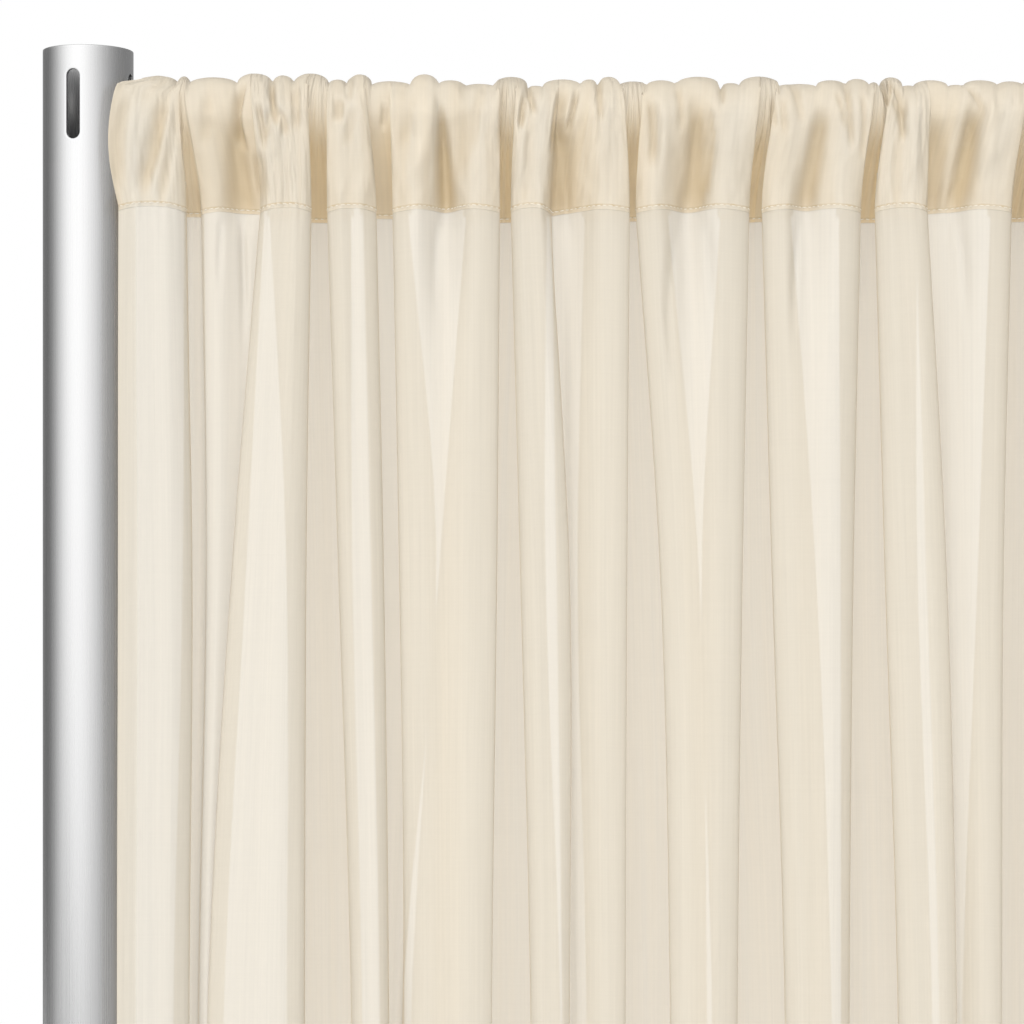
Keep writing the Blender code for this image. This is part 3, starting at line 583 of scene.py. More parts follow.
def cloth_rows(width):
    """The sheet's rows of points, from the pocket's back edge over the crossbar and down to the hem."""
    seam = section_at(SEAM_DROP, width)
    seam_x, seam_back = seam[:, 0], seam[:, 1]
    behind = np.clip((seam_back / MM - FRONT_TURN) / (BACK_TURN - FRONT_TURN), 0, 1)
    part = face_part()
    arc = SEAM_ARC * 4 * part * (1 - part) * (1 - VALLEY_SAG * behind)
    seam_z = -(SEAM_DROP - (TOP_Z - BAR_Z)) - SEAM_RISE * (behind - 0.5) + arc
    top_x = crown_columns()
    puff = puff_rise(top_x)

    close = BAR_RADIUS + POCKET_CLEARANCE
    front_parts = np.linspace(0, 1, FRONT_ROWS + 1)
    back_parts = np.linspace(0, 1, BACK_ROWS + 1)
    front, back = [], []
    for column in range(len(seam_x)):
        front_room = close + POCKET_FRONT_ROOM * (1 - behind[column])
        back_room = close + POCKET_FRONT_ROOM * POCKET_BACK_ROOM * behind[column]
        rise = close + PUFF_LIFT * puff[column]
        from_end = min(seam_x[column] - seam_x[0], seam_x[-1] - seam_x[column])
        square = math.exp(-from_end / END_SQUARE_REACH)
        front.append(pocket_path(-seam_back[column], front_room, rise, seam_z[column], front_parts, square))
        back.append(pocket_path(seam_back[column], back_room, rise, seam_z[column], back_parts))
    front, back = np.array(front), np.array(back)

    tangent = np.gradient(seam, axis=0)
    inner_side = np.column_stack([-tangent[:, 1], tangent[:, 0]])
    inner_side *= LAYER_GAP / np.linalg.norm(inner_side, axis=1)[:, None]

    rows = []
    for step in reversed(range(BACK_ROWS + 1)):
        up = 1 - back_parts[step]
        share = smoothstep(up)
        near_seam = (1 - share) ** GAP_FADE
        x = seam_x + (top_x - seam_x) * share + inner_side[:, 0] * (1 - up ** GAP_FADE_ACROSS)
        y = BAR_Y + back[:, step, 0] + inner_side[:, 1] * near_seam
        rows.append(np.column_stack([x, y, BAR_Z + back[:, step, 1] + BACK_EDGE_LIFT * near_seam]))
    for step in range(1, FRONT_ROWS + 1):
        share = smoothstep(1 - front_parts[step])
        x = seam_x + (top_x - seam_x) * share
        rows.append(np.column_stack([x, BAR_Y - front[:, step, 0], BAR_Z + front[:, step, 1]]))
    even = np.arange(1, BODY_ROWS + 1) / BODY_ROWS
    for along in BODY_ROW_START * even + (1 - BODY_ROW_START) * even ** BODY_ROW_GROWTH:
        drop = SEAM_DROP + (HEM_DROP - SEAM_DROP) * along
        points = section_at(drop, width)
        lift = (arc - SEAM_RISE * (behind - 0.5)) * (1 - along) ** ARC_FADE
        rows.append(np.column_stack([points[:, 0], BAR_Y + points[:, 1], TOP_Z - drop + lift]))
    rows, creased = shape_rows(np.array(rows), puff, behind)
    return rows, behind, creased


def shape_rows(rows, puff, behind):
    """Puffs the rows up over the crossbar, presses the creases in, and keeps the ends off the uprights.

    Returns the rows and each point's crease depth in metres, ripples counted extra for painted light and
    shade."""
    row_number = np.arange(len(rows))[:, None]
    in_back = row_number < BACK_ROWS
    front_part = np.clip((row_number - BACK_ROWS) / FRONT_ROWS, 0, 1)
    tangent = np.gradient(rows, axis=0)
    down = np.cumsum(np.linalg.norm(tangent, axis=2), axis=0)
    from_seam = np.minimum(np.abs(down - down[SEAM_ROW]), down)
    inward = np.stack([np.zeros_like(tangent[:, :, 0]), -tangent[:, :, 2], tangent[:, :, 1]], axis=2)
    inward /= np.linalg.norm(inward, axis=2)[:, :, None]
    inward[:, :, 2] *= smoothstep(from_seam / SEAM_STIFF)
    inward[:, :, 1] = np.sign(inward[:, :, 1]) * np.sqrt(1 - inward[:, :, 2] ** 2)

    # Up high the back layer takes a share of the creases, and at the stitched line it nests in the front
    # layer's creases
    creased = crease_depth(rows[:, :, 0], TOP_Z - rows[:, :, 2])
    above_back_seam = smoothstep(row_number / (BACK_CREASE_REACH * BACK_ROWS))
    share = np.where(in_back, (1 + BACK_CREASE) * above_back_seam - 1, 1)
    depth = creased * np.maximum(share, 0)
    past_crown = (down - down[BACK_ROWS]) / PUFF_REACH
    depth -= PUFF_SWELL * puff * np.exp(-past_crown ** 2)
    across = run_along(rows[-1])
    spread = np.abs(np.gradient(rows[:, :, 0], axis=1)) / np.gradient(across)[None, :]
    small = ripples(across[None, :], from_seam, front_part)
    small *= np.clip(RIPPLE_SPREAD * spread, RIPPLE_LEAST, 1)
    depth += np.where(in_back, -small, small)
    swelling = np.exp(-((front_part - VALLEY_PUFF_AT) / VALLEY_PUFF_REACH) ** 2)
    depth -= VALLEY_PUFF * behind * (swelling * smoothstep(front_part / VALLEY_PUFF_AT))
    rows = rows + inward * depth[:, :, None]
    rows[:, :, 1] += creased * np.maximum(-share, 0)

    from_bar = np.hypot(rows[:, :, 1] - BAR_Y, rows[:, :, 2] - BAR_Z)
    push = np.maximum((BAR_RADIUS + BAR_ROOM) / from_bar, 1)
    rows[:, :, 1] = BAR_Y + (rows[:, :, 1] - BAR_Y) * push
    rows[:, :, 2] = BAR_Z + (rows[:, :, 2] - BAR_Z) * push

    swell = END_BULGE * np.sin(math.pi * front_part ** END_BULGE_POWER) ** END_BULGE_POWER
    swell *= smoothstep(front_part / END_BULGE_START)
    rows[:, :, 0] -= swell * np.exp(-(rows[:, :, 0] - rows[:, :1, 0]) / END_BULGE_REACH)
    rows[:, :, 0] += END_BULGE_RIGHT * swell * np.exp(-(rows[:, -1:, 0] - rows[:, :, 0]) / END_BULGE_REACH)
    rows[:, :, 0] = make_room_for_uprights(rows[:, :, 0], rows[:, :, 1]) - AXIS_X
    return rows, creased + RIPPLE_SHADE_AND_HIGHLIGHT * small


# ---------------- helpers for pieces

def put(name, data):
    """A new object in the scene."""
    made = bpy.data.objects.new(name, data)
    bpy.context.scene.collection.objects.link(made)
    return made


def mesh_from(name, bm):
    mesh = bpy.data.meshes.new(name)
    bm.to_mesh(mesh)
    bm.free()
    return mesh


def add_piece(name, mesh):
    """A finished piece that rides with the stand."""
    piece = put(name, mesh)
    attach(piece, "root")
    return piece


def sheet_mesh(name, rows):
    """A grid of cloth laid on the rows of points, with its place on the flat cloth as a UV map in metres."""
    row_count, column_count = rows.shape[:2]
    bm = bmesh.new()
    bmesh.ops.create_grid(bm, x_segments=column_count - 1, y_segments=row_count - 1, size=0.5)
    mesh = mesh_from(name, bm)
    flat = np.zeros(len(mesh.vertices) * 3)
    mesh.vertices.foreach_get("co", flat)
    flat = flat.reshape(-1, 3)
    column = np.rint((flat[:, 0] + 0.5) * (column_count - 1)).astype(int)
    row = np.rint((flat[:, 1] + 0.5) * (row_count - 1)).astype(int)
    mesh.vertices.foreach_set("co", rows[row, column].ravel())

    down = np.concatenate([[0], np.cumsum(np.linalg.norm(np.diff(rows, axis=0), axis=2).mean(axis=1))])
    across = run_along(rows[-1])
    corner = np.zeros(len(mesh.loops), int)
    mesh.loops.foreach_get("vertex_index", corner)
    places = np.column_stack([across[column[corner]], down[row[corner]]])
    mesh.uv_layers.new(name="cloth").data.foreach_set("uv", places.astype(np.float32).ravel())
    mesh.shade_smooth()
    mesh.update()
    return mesh, row, column, down


def store(mesh, name, values):
    attribute = mesh.attributes.new(name, "FLOAT", "POINT")
    attribute.data.foreach_set("value", values.astype(np.float32))


def finish_mesh(name, bm, material):
    """A mesh from bm, smooth over its rounded parts, with its normals turned outward."""
    bmesh.ops.recalc_face_normals(bm, faces=bm.faces)
    mesh = mesh_from(name, bm)
    mesh.materials.append(material)
    mesh.shade_smooth()
    mesh.set_sharp_from_angle(angle=SMOOTH_UP_TO)
    return mesh


def bevel_sharp(bm, offset, segments=2, least=60):
    """Rounds every edge that turns by more than least degrees."""
    sharp = [edge for edge in bm.edges
             if len(edge.link_faces) == 2 and edge.calc_face_angle() > math.radians(least)]
    bmesh.ops.bevel(bm, geom=sharp, offset=offset, segments=segments, profile=0.5, affect="EDGES",
                    material=-1, clamp_overlap=True)


def vertices_of(geometry):
    return [item for item in geometry if isinstance(item, bmesh.types.BMVert)]


def loop_between(bm, corners):
    """A closed loop of edges through the corners, laid on a ring of as many vertices."""
    ring = bmesh.ops.create_circle(bm, segments=len(corners), radius=1.0)["verts"]
    for vert, corner in zip(ring, corners):
        vert.co = corner
    return list({edge for vert in ring for edge in vert.link_edges})


def slot_cell(bm, half_width):
    """One slot with the flat wall round it, up to half_width on both sides, hanging from z = 0."""
    ends, sides = SLOT_END_STEPS, SLOT_SIDE_STEPS
    radius = SLOT_WIDTH / 2
    high, low = -SLOT_TOP_DROP - radius, -SLOT_TOP_DROP - SLOT_LENGTH + radius
    slot, border = [], []
    for step in range(ends):
        angle = math.pi * (1 - step / ends)
        slot.append(Vector((radius * math.cos(angle), 0, high + radius * math.sin(angle))))
        border.append(Vector((half_width * (2 * step / ends - 1), 0, 0)))
    for step in range(sides):
        slot.append(Vector((radius, 0, high + (low - high) * step / sides)))
        border.append(Vector((half_width, 0, -CELL_DROP * step / sides)))
    for step in range(ends):
        angle = -math.pi * step / ends
        slot.append(Vector((radius * math.cos(angle), 0, low + radius * math.sin(angle))))
        border.append(Vector((half_width * (1 - 2 * step / ends), 0, -CELL_DROP)))
    for step in range(sides):
        slot.append(Vector((-radius, 0, low + (high - low) * step / sides)))
        border.append(Vector((-half_width, 0, -CELL_DROP * (1 - step / sides))))
    loops = loop_between(bm, slot) + loop_between(bm, border)
    faces = bmesh.ops.bridge_loops(bm, edges=loops)["faces"]
    across = list({edge for face in faces for edge in face.edges} - set(loops))
    bmesh.ops.subdivide_edges(bm, edges=across, cuts=CELL_RINGS, use_grid_fill=True)


def wall(bm, thickness):
    """Gives an open skin a wall on its inner side."""
    bmesh.ops.recalc_face_normals(bm, faces=bm.faces)
    bmesh.ops.solidify(bm, geom=list(bm.faces), thickness=thickness)
    bmesh.ops.recalc_face_normals(bm, faces=bm.faces)


def upright_mesh(name, axis_x, turn, material):
    """A tube with slots through its wall near the top, round the given axis."""
    radius = UPRIGHT_RADIUS
    bm = bmesh.new()
    slot_cell(bm, math.pi * radius / SLOT_COUNT)
    cell = list(bm.verts) + list(bm.edges) + list(bm.faces)
    for index in range(1, SLOT_COUNT):
        made = bmesh.ops.duplicate(bm, geom=cell)["geom"]
        bmesh.ops.translate(bm, verts=vertices_of(made), vec=(math.tau * radius * index / SLOT_COUNT, 0, 0))
    for vert in bm.verts:
        angle = vert.co.x / radius + turn
        vert.co = Vector((axis_x + radius * math.sin(angle), -radius * math.cos(angle), TOP_Z + vert.co.z))
    bmesh.ops.remove_doubles(bm, verts=bm.verts, dist=WELD)
    foot = [edge for edge in bm.edges if edge.is_boundary
            and all(abs(vert.co.z - (TOP_Z - CELL_DROP)) < SAME_HEIGHT for vert in edge.verts)]
    for vert in vertices_of(bmesh.ops.extrude_edge_only(bm, edges=foot)["geom"]):
        vert.co.z = UPRIGHT_LOW.z
    wall(bm, UPRIGHT_WALL)
    bevel_sharp(bm, RIM_BEVEL)
    return finish_mesh(name, bm, material)


def rod(bm, radius, length, matrix, solid=True):
    """A round bar along the matrix's Z, centred on it."""
    bmesh.ops.create_cone(bm, cap_ends=solid, segments=ROUND_SIDES, radius1=radius, radius2=radius,
                          depth=length, matrix=matrix)


def crossbar_mesh(name, material):
    bm = bmesh.new()
    rod(bm, BAR_RADIUS, BAR_HIGH.x - BAR_LOW.x, Matrix.Translation((0, BAR_Y, BAR_Z)) @ ALONG_X, solid=False)
    wall(bm, CROSSBAR_WALL)
    bevel_sharp(bm, RIM_BEVEL)
    return finish_mesh(name, bm, material)


def hook_mesh(name, side, material):
    """Collar, plug and hook plate of one end of the crossbar: side is -1 at the left and 1 at the right."""
    low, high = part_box("left_hook" if side < 0 else "right_hook")
    bar_end = BAR_LOW.x if side < 0 else BAR_HIGH.x
    collar_x = bar_end + side * (COLLAR_LENGTH / 2 + PLUG_GAP)
    plug_x = bar_end - side * (PLUG_LENGTH / 2 - COLLAR_LENGTH / 4)
    bm = bmesh.new()
    rod(bm, BAR_RADIUS, COLLAR_LENGTH, Matrix.Translation((collar_x, BAR_Y, BAR_Z)) @ ALONG_X)
    rod(bm, BAR_RADIUS - CROSSBAR_WALL - PLUG_GAP, PLUG_LENGTH,
        Matrix.Translation((plug_x, BAR_Y, BAR_Z)) @ ALONG_X)

    tip = low.x if side < 0 else high.x
    lip = tip - side * HOOK_LIP
    seat = TOP_Z - SLOT_TOP_DROP - SLOT_LENGTH + SLOT_WIDTH / 2
    plate = bmesh.ops.create_grid(bm, x_segments=2, y_segments=2, size=0.5)["verts"]
    places_x = {-1: min(collar_x, tip), 0: lip, 1: max(collar_x, tip)}
    places_z = {-1: low.z, 0: seat, 1: BAR_Z + BAR_RADIUS * HOOK_TOP}
    for vert in plate:
        column, row = round(vert.co.x * 2), round(vert.co.y * 2)
        vert.co = Vector((places_x[column], BAR_Y - HOOK_THICKNESS / 2, places_z[row]))
    spare = [face for face in {face for vert in plate for face in vert.link_faces}
             if (face.calc_center_median().x - lip) * side < 0 and face.calc_center_median().z < seat]
    bmesh.ops.delete(bm, geom=spare, context="FACES")
    plate_faces = list({face for vert in plate if vert.is_valid for face in vert.link_faces})
    made = bmesh.ops.extrude_face_region(bm, geom=plate_faces)["geom"]
    bmesh.ops.translate(bm, verts=vertices_of(made), vec=(0, HOOK_THICKNESS, 0))
    bmesh.ops.recalc_face_normals(bm, faces=bm.faces)
    bevel_sharp(bm, HOOK_BEVEL)
    return finish_mesh(name, bm, material)


def base_mesh(name, side, material):
    """A flat foot with rounded corners and the pin that stands in the upright."""
    low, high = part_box("left_base" if side < 0 else "right_base")
    bm = bmesh.new()
    place = Matrix.Translation(((low.x + high.x) / 2, (low.y + high.y) / 2, BASE_THICKNESS / 2))
    size = Matrix.Diagonal((high.x - low.x, high.y - low.y, BASE_THICKNESS, 1))
    bmesh.ops.create_cube(bm, size=1.0, matrix=place @ size)
    corners = [edge for edge in bm.edges
               if abs(edge.verts[0].co.z - edge.verts[1].co.z) > BASE_THICKNESS / 2]
    bmesh.ops.bevel(bm, geom=corners, offset=BASE_CORNER, segments=BASE_CORNER_STEPS, profile=0.5,
                    affect="EDGES", material=-1)
    rod(bm, UPRIGHT_RADIUS - UPRIGHT_WALL - PIN_GAP, PIN_HEIGHT,
        Matrix.Translation((side * AXIS_X, 0, BASE_THICKNESS + PIN_HEIGHT / 2)))
    bevel_sharp(bm, BASE_BEVEL, segments=BASE_BEVEL_STEPS)
    return finish_mesh(name, bm, material)


def stitches_mesh(name, line, away, material):
    """Short threads along a line of points, each lying just off the cloth in the direction away."""
    run = run_along(line)
    centres = np.arange(STITCH_PITCH / 2, run[-1], STITCH_PITCH)
    hand = np.random.default_rng(STITCH_SEED)
    lengths = STITCH_LENGTH * hand.uniform(*STITCH_LENGTHS, len(centres))
    lifts = STITCH_WANDER * hand.uniform(-1, 1, len(centres))
    bm = bmesh.new()
    bmesh.ops.create_uvsphere(bm, u_segments=STITCH_SIDES, v_segments=STITCH_RINGS, radius=1.0,
                              matrix=ALONG_X)
    one = bpy.data.meshes.new("one_stitch")
    bm.to_mesh(one)
    bm.clear()
    for centre, length, lift in zip(centres, lengths, lifts):
        start, end = (Vector([np.interp(centre + shift, run, line[:, axis]) for axis in range(3)])
                      for shift in (-length / 2, length / 2))
        start.z, end.z = start.z + lift, end.z - lift
        off = Vector([np.interp(centre, run, away[:, axis]) for axis in range(3)])
        turn = (end - start).normalized().to_track_quat("X", "Z").to_matrix().to_4x4()
        size = Matrix.Diagonal(((end - start).length / 2, STITCH_THICKNESS / 2, STITCH_THICKNESS / 2, 1))
        place = Matrix.Translation((start + end) / 2 + off * STITCH_THICKNESS * STITCH_STAND_OFF)
        stitch = one.copy()
        stitch.transform(place @ turn @ size)
        bm.from_mesh(stitch)
        bpy.data.meshes.remove(stitch)
    bpy.data.meshes.remove(one)
    return finish_mesh(name, bm, material)


# ---------------- materials

def fill(tree, made, inputs):
    """Gives a node's inputs, by their name or number, a value or another node's output each."""
    for key, value in inputs.items():
        if isinstance(value, bpy.types.NodeSocket):
            tree.links.new(value, made.inputs[key])
        else:
            made.inputs[key].default_value = value
    return made


def node(tree, kind, inputs=None, **settings):
    """A new shader node with its settings and inputs."""
    made = tree.nodes.new("ShaderNode" + kind)
    for key, value in settings.items():
        setattr(made, key, value)
    return fill(tree, made, inputs or {})


def maths(tree, operation, *values):
    return node(tree, "Math", dict(enumerate(values)), operation=operation).outputs[0]


def blend_colour(tree, factor, first, second):
    return node(tree, "Mix", {"Factor": factor, "A": first, "B": second}, data_type="RGBA").outputs["Result"]


def new_material(name):
    material = bpy.data.materials.new(name)
    material.use_nodes = True
    return material, material.node_tree, material.node_tree.nodes["Principled BSDF"]


def band(tree, value, low, high, soft=HEM_BLEND):
    """1 between low and high, 0 outside, with a narrow blend at both ends."""
    rises, falls = (node(tree, "MapRange", {"Value": value, "From Min": start, "From Max": end},
                         interpolation_type="SMOOTHSTEP").outputs[0]
                    for start, end in ((low - soft, low + soft), (high + soft, high - soft)))
    return maths(tree, "MULTIPLY", rises, falls)


def streaks(tree, place, kind):
    stretched = node(tree, "VectorMath", {0: place, 1: (kind.across, kind.along, 1)}, operation="MULTIPLY")
    inputs = {"Vector": stretched.outputs[0], "Scale": 1.0, "Detail": kind.detail}
    return node(tree, "TexNoise", inputs).outputs["Fac"]


def finish_surface(tree, shader, colour, roughness, height, bump):
    """Gives a shader its colour, roughness and bump."""
    raised = node(tree, "Bump", {"Strength": bump[0], "Distance": bump[1], "Height": height})
    fill(tree, shader, {"Base Color": colour, "Roughness": roughness, "Normal": raised.outputs[0]})


def chiffon_material(cloth, seam_at, length):
    """Sheer cloth. seam_at and length are measured down the flat cloth."""
    material, tree, shader = new_material("chiffon")
    times, plus, most = (partial(maths, tree, kind) for kind in ("MULTIPLY", "MULTIPLY_ADD", "MAXIMUM"))
    place = node(tree, "UVMap", uv_map="cloth").outputs["UV"]
    apart = node(tree, "SeparateXYZ", {0: place})
    across, down = apart.outputs["X"], apart.outputs["Y"]
    # The fold and crease attributes hold painted shade, and painted highlight where a crease is a ridge;
    # side_turn is how far the cloth faces sideways.
    fold, crease, side_turn = (node(tree, "Attribute", attribute_name=name).outputs["Fac"]
                               for name in ("painted_fold_shade", "crease_depth", "side_turn"))
    turned = maths(tree, "POWER", side_turn, SIDE_TURN_POWER)

    pocket = band(tree, down, -1, seam_at + SEAM_EDGE)
    sides = maths(tree, "SUBTRACT", 1.0, band(tree, across, SIDE_HEM, cloth.width - SIDE_HEM))
    bottom = band(tree, down, length - BOTTOM_HEM, length + 1)
    hem = times(most(sides, bottom), maths(tree, "SUBTRACT", 1.0, pocket))
    # Painted shadow of the stitches and of the puckers they draw in, along the stitched line
    drawn = times(streaks(tree, place, DRAWN),
                  band(tree, down, seam_at + DRAWN_LINE[0], seam_at + DRAWN_LINE[1], DRAWN_SOFT))

    warp, weft, soft = (streaks(tree, place, kind) for kind in (WARP, WEFT, SOFT))
    uneven = plus(soft, SOFT_SHARE, plus(weft, WEFT_SHARE, warp))
    tone = plus(maths(tree, "SUBTRACT", uneven, STREAKS_MEAN), cloth.unevenness, 1.0)
    # Painted shade darkens the cloth in creases, where folds turn and along the stitched line; painted
    # highlight lightens ridges and ripple crests.
    for value, shade in ((crease, cloth.crease_shade), (turned, cloth.edge_shade), (drawn, DRAWN_SHADE)):
        tone = times(tone, plus(value, -shade, 1.0))

    # Painted shade: the valley shade colour in the pocket's valleys, along its top and at its folds' sides, a
    # little in the body's valleys, and where folds turn
    deep = times(fold, plus(soft, *VALLEY_SHADE_STREAKS))
    deep = times(deep, most(pocket, BODY_VALLEY_SHADE))
    deep = most(deep, times(turned, EDGE_SHADE_SHARE))
    # Painted shade colour in creases, and painted shadow of the stitches along the stitched line
    creased = times(pocket, times(crease, CREASE_SHADE_SHARE))
    creased = most(creased, times(drawn, STITCH_SHADOW_SHARE))
    colour = blend_colour(tree, deep, (*cloth.colour, 1), (*cloth.valley_shade_colour, 1))
    colour = blend_colour(tree, creased, colour, (*cloth.crease_shade_colour, 1))
    colour = node(tree, "VectorMath", {0: colour, "Scale": tone}, operation="SCALE").outputs[0]

    crinkle = times(streaks(tree, place, CRINKLE), plus(pocket, *CRINKLE_HEIGHTS))
    height = plus(soft, SOFT_HEIGHT, crinkle)
    finish_surface(tree, shader, colour, CLOTH_ROUGHNESS, height, CLOTH_BUMP)

    single = plus(turned, SIDE_TURN_COVER, cloth.cover)
    doubled = times(most(pocket, hem), cloth.pocket_cover)
    cover = times(most(single, doubled), tone)
    path = node(tree, "LightPath")
    seen = plus(path.outputs["Is Camera Ray"], 1 - cloth.shade, cloth.shade)
    alpha = times(cover, seen)

    through = node(tree, "BsdfTranslucent", {"Color": colour})
    threads = node(tree, "MixShader", {0: cloth.translucency, 1: shader.outputs[0], 2: through.outputs[0]})
    clear = node(tree, "BsdfTransparent")
    sheer = node(tree, "MixShader", {0: alpha, 1: clear.outputs[0], 2: threads.outputs[0]})
    tree.links.new(sheer.outputs[0], tree.nodes["Material Output"].inputs["Surface"])
    return material


def brushed_group():
    """Fine scratches along Z: their tone, from about -1 to 1, and their height."""
    group = bpy.data.node_groups.new("brushed", "ShaderNodeTree")
    for name, way in (("Length", "INPUT"), ("Fineness", "INPUT"), ("Tone", "OUTPUT"), ("Height", "OUTPUT")):
        group.interface.new_socket(name, in_out=way, socket_type="NodeSocketFloat")
    start, end = group.nodes.new("NodeGroupInput"), group.nodes.new("NodeGroupOutput")
    where = node(group, "TexCoord").outputs["Object"]
    fineness, length = start.outputs["Fineness"], start.outputs["Length"]
    stretch = node(group, "CombineXYZ", {"X": fineness, "Y": fineness, "Z": length})
    place = node(group, "VectorMath", {0: where, 1: stretch.outputs[0]}, operation="MULTIPLY")
    inputs = {"Vector": place.outputs[0], "Scale": 1.0, "Detail": SCRATCH_DETAIL}
    noise = node(group, "TexNoise", inputs).outputs["Fac"]
    fill(group, end, {"Tone": maths(group, "MULTIPLY_ADD", noise, 2.0, -1.0), "Height": noise})
    return group


def metal_material(name, colour, metal, group):
    material, tree, shader = new_material(name)
    brushed = node(tree, "Group", {"Length": metal.length, "Fineness": metal.fineness}, node_tree=group)
    tone = maths(tree, "MULTIPLY_ADD", brushed.outputs["Tone"], metal.strength, 1.0)
    scaled = node(tree, "VectorMath", {0: colour, "Scale": tone}, operation="SCALE").outputs[0]
    rough = maths(tree, "MULTIPLY_ADD", brushed.outputs["Tone"], SCRATCH_ROUGHNESS, metal.roughness)
    finish_surface(tree, shader, scaled, rough, brushed.outputs["Height"], SCRATCH_BUMP)
    fill(tree, shader, {"Metallic": 1.0})
    return material


def grain_noise(tree, scale, detail):
    where = node(tree, "TexCoord").outputs["Object"]
    return node(tree, "TexNoise", {"Vector": where, "Scale": scale, "Detail": detail}).outputs["Fac"]


def powder_coat_material():
    """Black coat with a fine orange-peel grain."""
    material, tree, shader = new_material("powder_coat")
    grain = grain_noise(tree, *COAT_GRAIN)
    rough = maths(tree, "MULTIPLY_ADD", grain, *COAT_ROUGHNESS)
    finish_surface(tree, shader, blend_colour(tree, grain, *COAT_COLOURS), rough, grain, COAT_BUMP)
    return material


def thread_material(cloth):
    """Twisted thread, a little lighter than the cloth."""
    material, tree, shader = new_material("stitch_thread")
    tones = [(*(min(1.0, value * tone) for value in cloth.colour), 1) for tone in THREAD_TONES]
    colour = blend_colour(tree, grain_noise(tree, *THREAD_GRAIN), *tones)
    fill(tree, shader, {"Base Color": colour, "Roughness": THREAD_ROUGHNESS})
    return material


# ---------------- properties

class ClothSettings(bpy.types.PropertyGroup):
    width: FloatProperty(name="Flat width", description="Width of the panel before it is gathered",
                         default=1.524, unit="LENGTH")
    colour: FloatVectorProperty(name="Thread colour", description="Colour of the chiffon's threads",
                                default=(0.658, 0.608, 0.516), size=3, subtype="COLOR", min=0, max=1)
    # painted shade: the darker, warmer colour the pocket's valleys take in shade, together with the deeper
    # colour of more layers there
    valley_shade_colour: FloatVectorProperty(name="Valley colour", description="Colour deep in the pocket's folds",
                                       default=(0.72, 0.550, 0.322), size=3, subtype="COLOR", min=0, max=1)
    # painted shade: the darker, warmer colour the pocket's creases take in shade
    crease_shade_colour: FloatVectorProperty(name="Crease colour",
                                       description="Colour deep in the pocket's creases",
                                       default=(0.632, 0.492, 0.300), size=3, subtype="COLOR", min=0, max=1)
    cover: FloatProperty(name="Cover", description="How much of the view one layer covers",
                         default=0.84, min=0, max=1, subtype="FACTOR")
    translucency: FloatProperty(name="Translucency",
                                description="Share of the light that passes through a thread",
                                default=0.30, min=0, max=1, subtype="FACTOR")
    unevenness: FloatProperty(name="Unevenness", description="How much the threads vary in thickness",
                              default=0.06, min=0, max=1, subtype="FACTOR")
    # painted shade in creases, and painted highlight on ridges and ripple crests
    crease_shade: FloatProperty(name="Crease shade",
                                description="How much darker the threads lie in a crease",
                                default=0.07, min=0, max=1, subtype="FACTOR")
    edge_shade: FloatProperty(name="Edge shade",
                              description="How much darker the threads look where a fold turns",
                              default=0.08, min=0, max=1, subtype="FACTOR")
    shade: FloatProperty(name="Shade", description="How much of its cover a layer keeps against light",
                         default=0.28, min=0, max=1, subtype="FACTOR")
    pocket_cover: FloatProperty(name="Pocket cover", description="How much of the view the pocket covers",
                                default=0.97, min=0, max=1, subtype="FACTOR")


class StandSettings(bpy.types.PropertyGroup):
    metal_colour: FloatVectorProperty(name="Metal colour", description="Colour of the brushed aluminium",
                                      default=(0.42, 0.42, 0.42), size=3, subtype="COLOR", min=0, max=1)


class StageSettings(bpy.types.PropertyGroup):
    floor_size: FloatProperty(name="Floor size", description="Width of the floor", default=14.0,
                              unit="LENGTH")


# ---------------- operators

def soft_patch(tree, patch):
    """A soft patch in the world: 1 towards its middle and 0 away from it."""
    turn = math.radians(patch.azimuth)
    middle_way = Vector((math.sin(turn), -math.cos(turn), patch.rise)).normalized()
    where = node(tree, "TexCoord").outputs["Generated"]
    dot = node(tree, "VectorMath", {0: where, 1: middle_way}, operation="DOT_PRODUCT").outputs["Value"]
    return maths(tree, "POWER", maths(tree, "MULTIPLY_ADD", dot, 0.5, 0.5), patch.power)


class CURTAIN_OT_cloth(bpy.types.Operator):
    """Hangs the chiffon panel on the crossbar"""
    bl_idname = "curtain.cloth"
    bl_label = "Hang the panel"

    def execute(self, context):
        cloth = context.scene.curtain_cloth
        rows, behind, creased = cloth_rows(cloth.width)
        mesh, row, column, down = sheet_mesh("chiffon_panel", rows)
        # Painted shade: darker and warmer deep in the pocket's valleys, with the deeper colour of more
        # layers, at the sides of its front folds and along its top.
        from_seam = np.abs(np.arange(len(rows)) - SEAM_ROW) / FRONT_ROWS
        in_pocket = smoothstep((VALLEY_SHADE_START - from_seam) / VALLEY_SHADE_REACH)[:, None]
        deep = np.maximum(behind[None, :] ** VALLEY_SHADE_POWER, FLANK_SHADE * flanks()[None, :])
        painted_fold_shade = deep * in_pocket + CROWN_SHADE * (1 - in_pocket)
        store(mesh, "painted_fold_shade", painted_fold_shade[row, column])
        # painted shade in creases and ripple troughs, painted highlight on ridges and ripple crests
        store(mesh, "crease_depth", np.clip(creased / CREASE_FULL_SHADE, -1, 1)[row, column])
        # how far the cloth faces sideways: the material paints shade there, and lets the cloth cover more of
        # the view
        normals = np.zeros(len(mesh.vertices) * 3)
        mesh.vertex_normals.foreach_get("vector", normals)
        store(mesh, "side_turn", 1 - np.sqrt(np.maximum(1 - normals[::3] ** 2, 0)))
        mesh.materials.append(chiffon_material(cloth, float(down[SEAM_ROW]), float(down[-1])))
        panel = add_piece("chiffon_panel", mesh)
        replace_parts(panel, "curtain_panel")
        return {"FINISHED"}


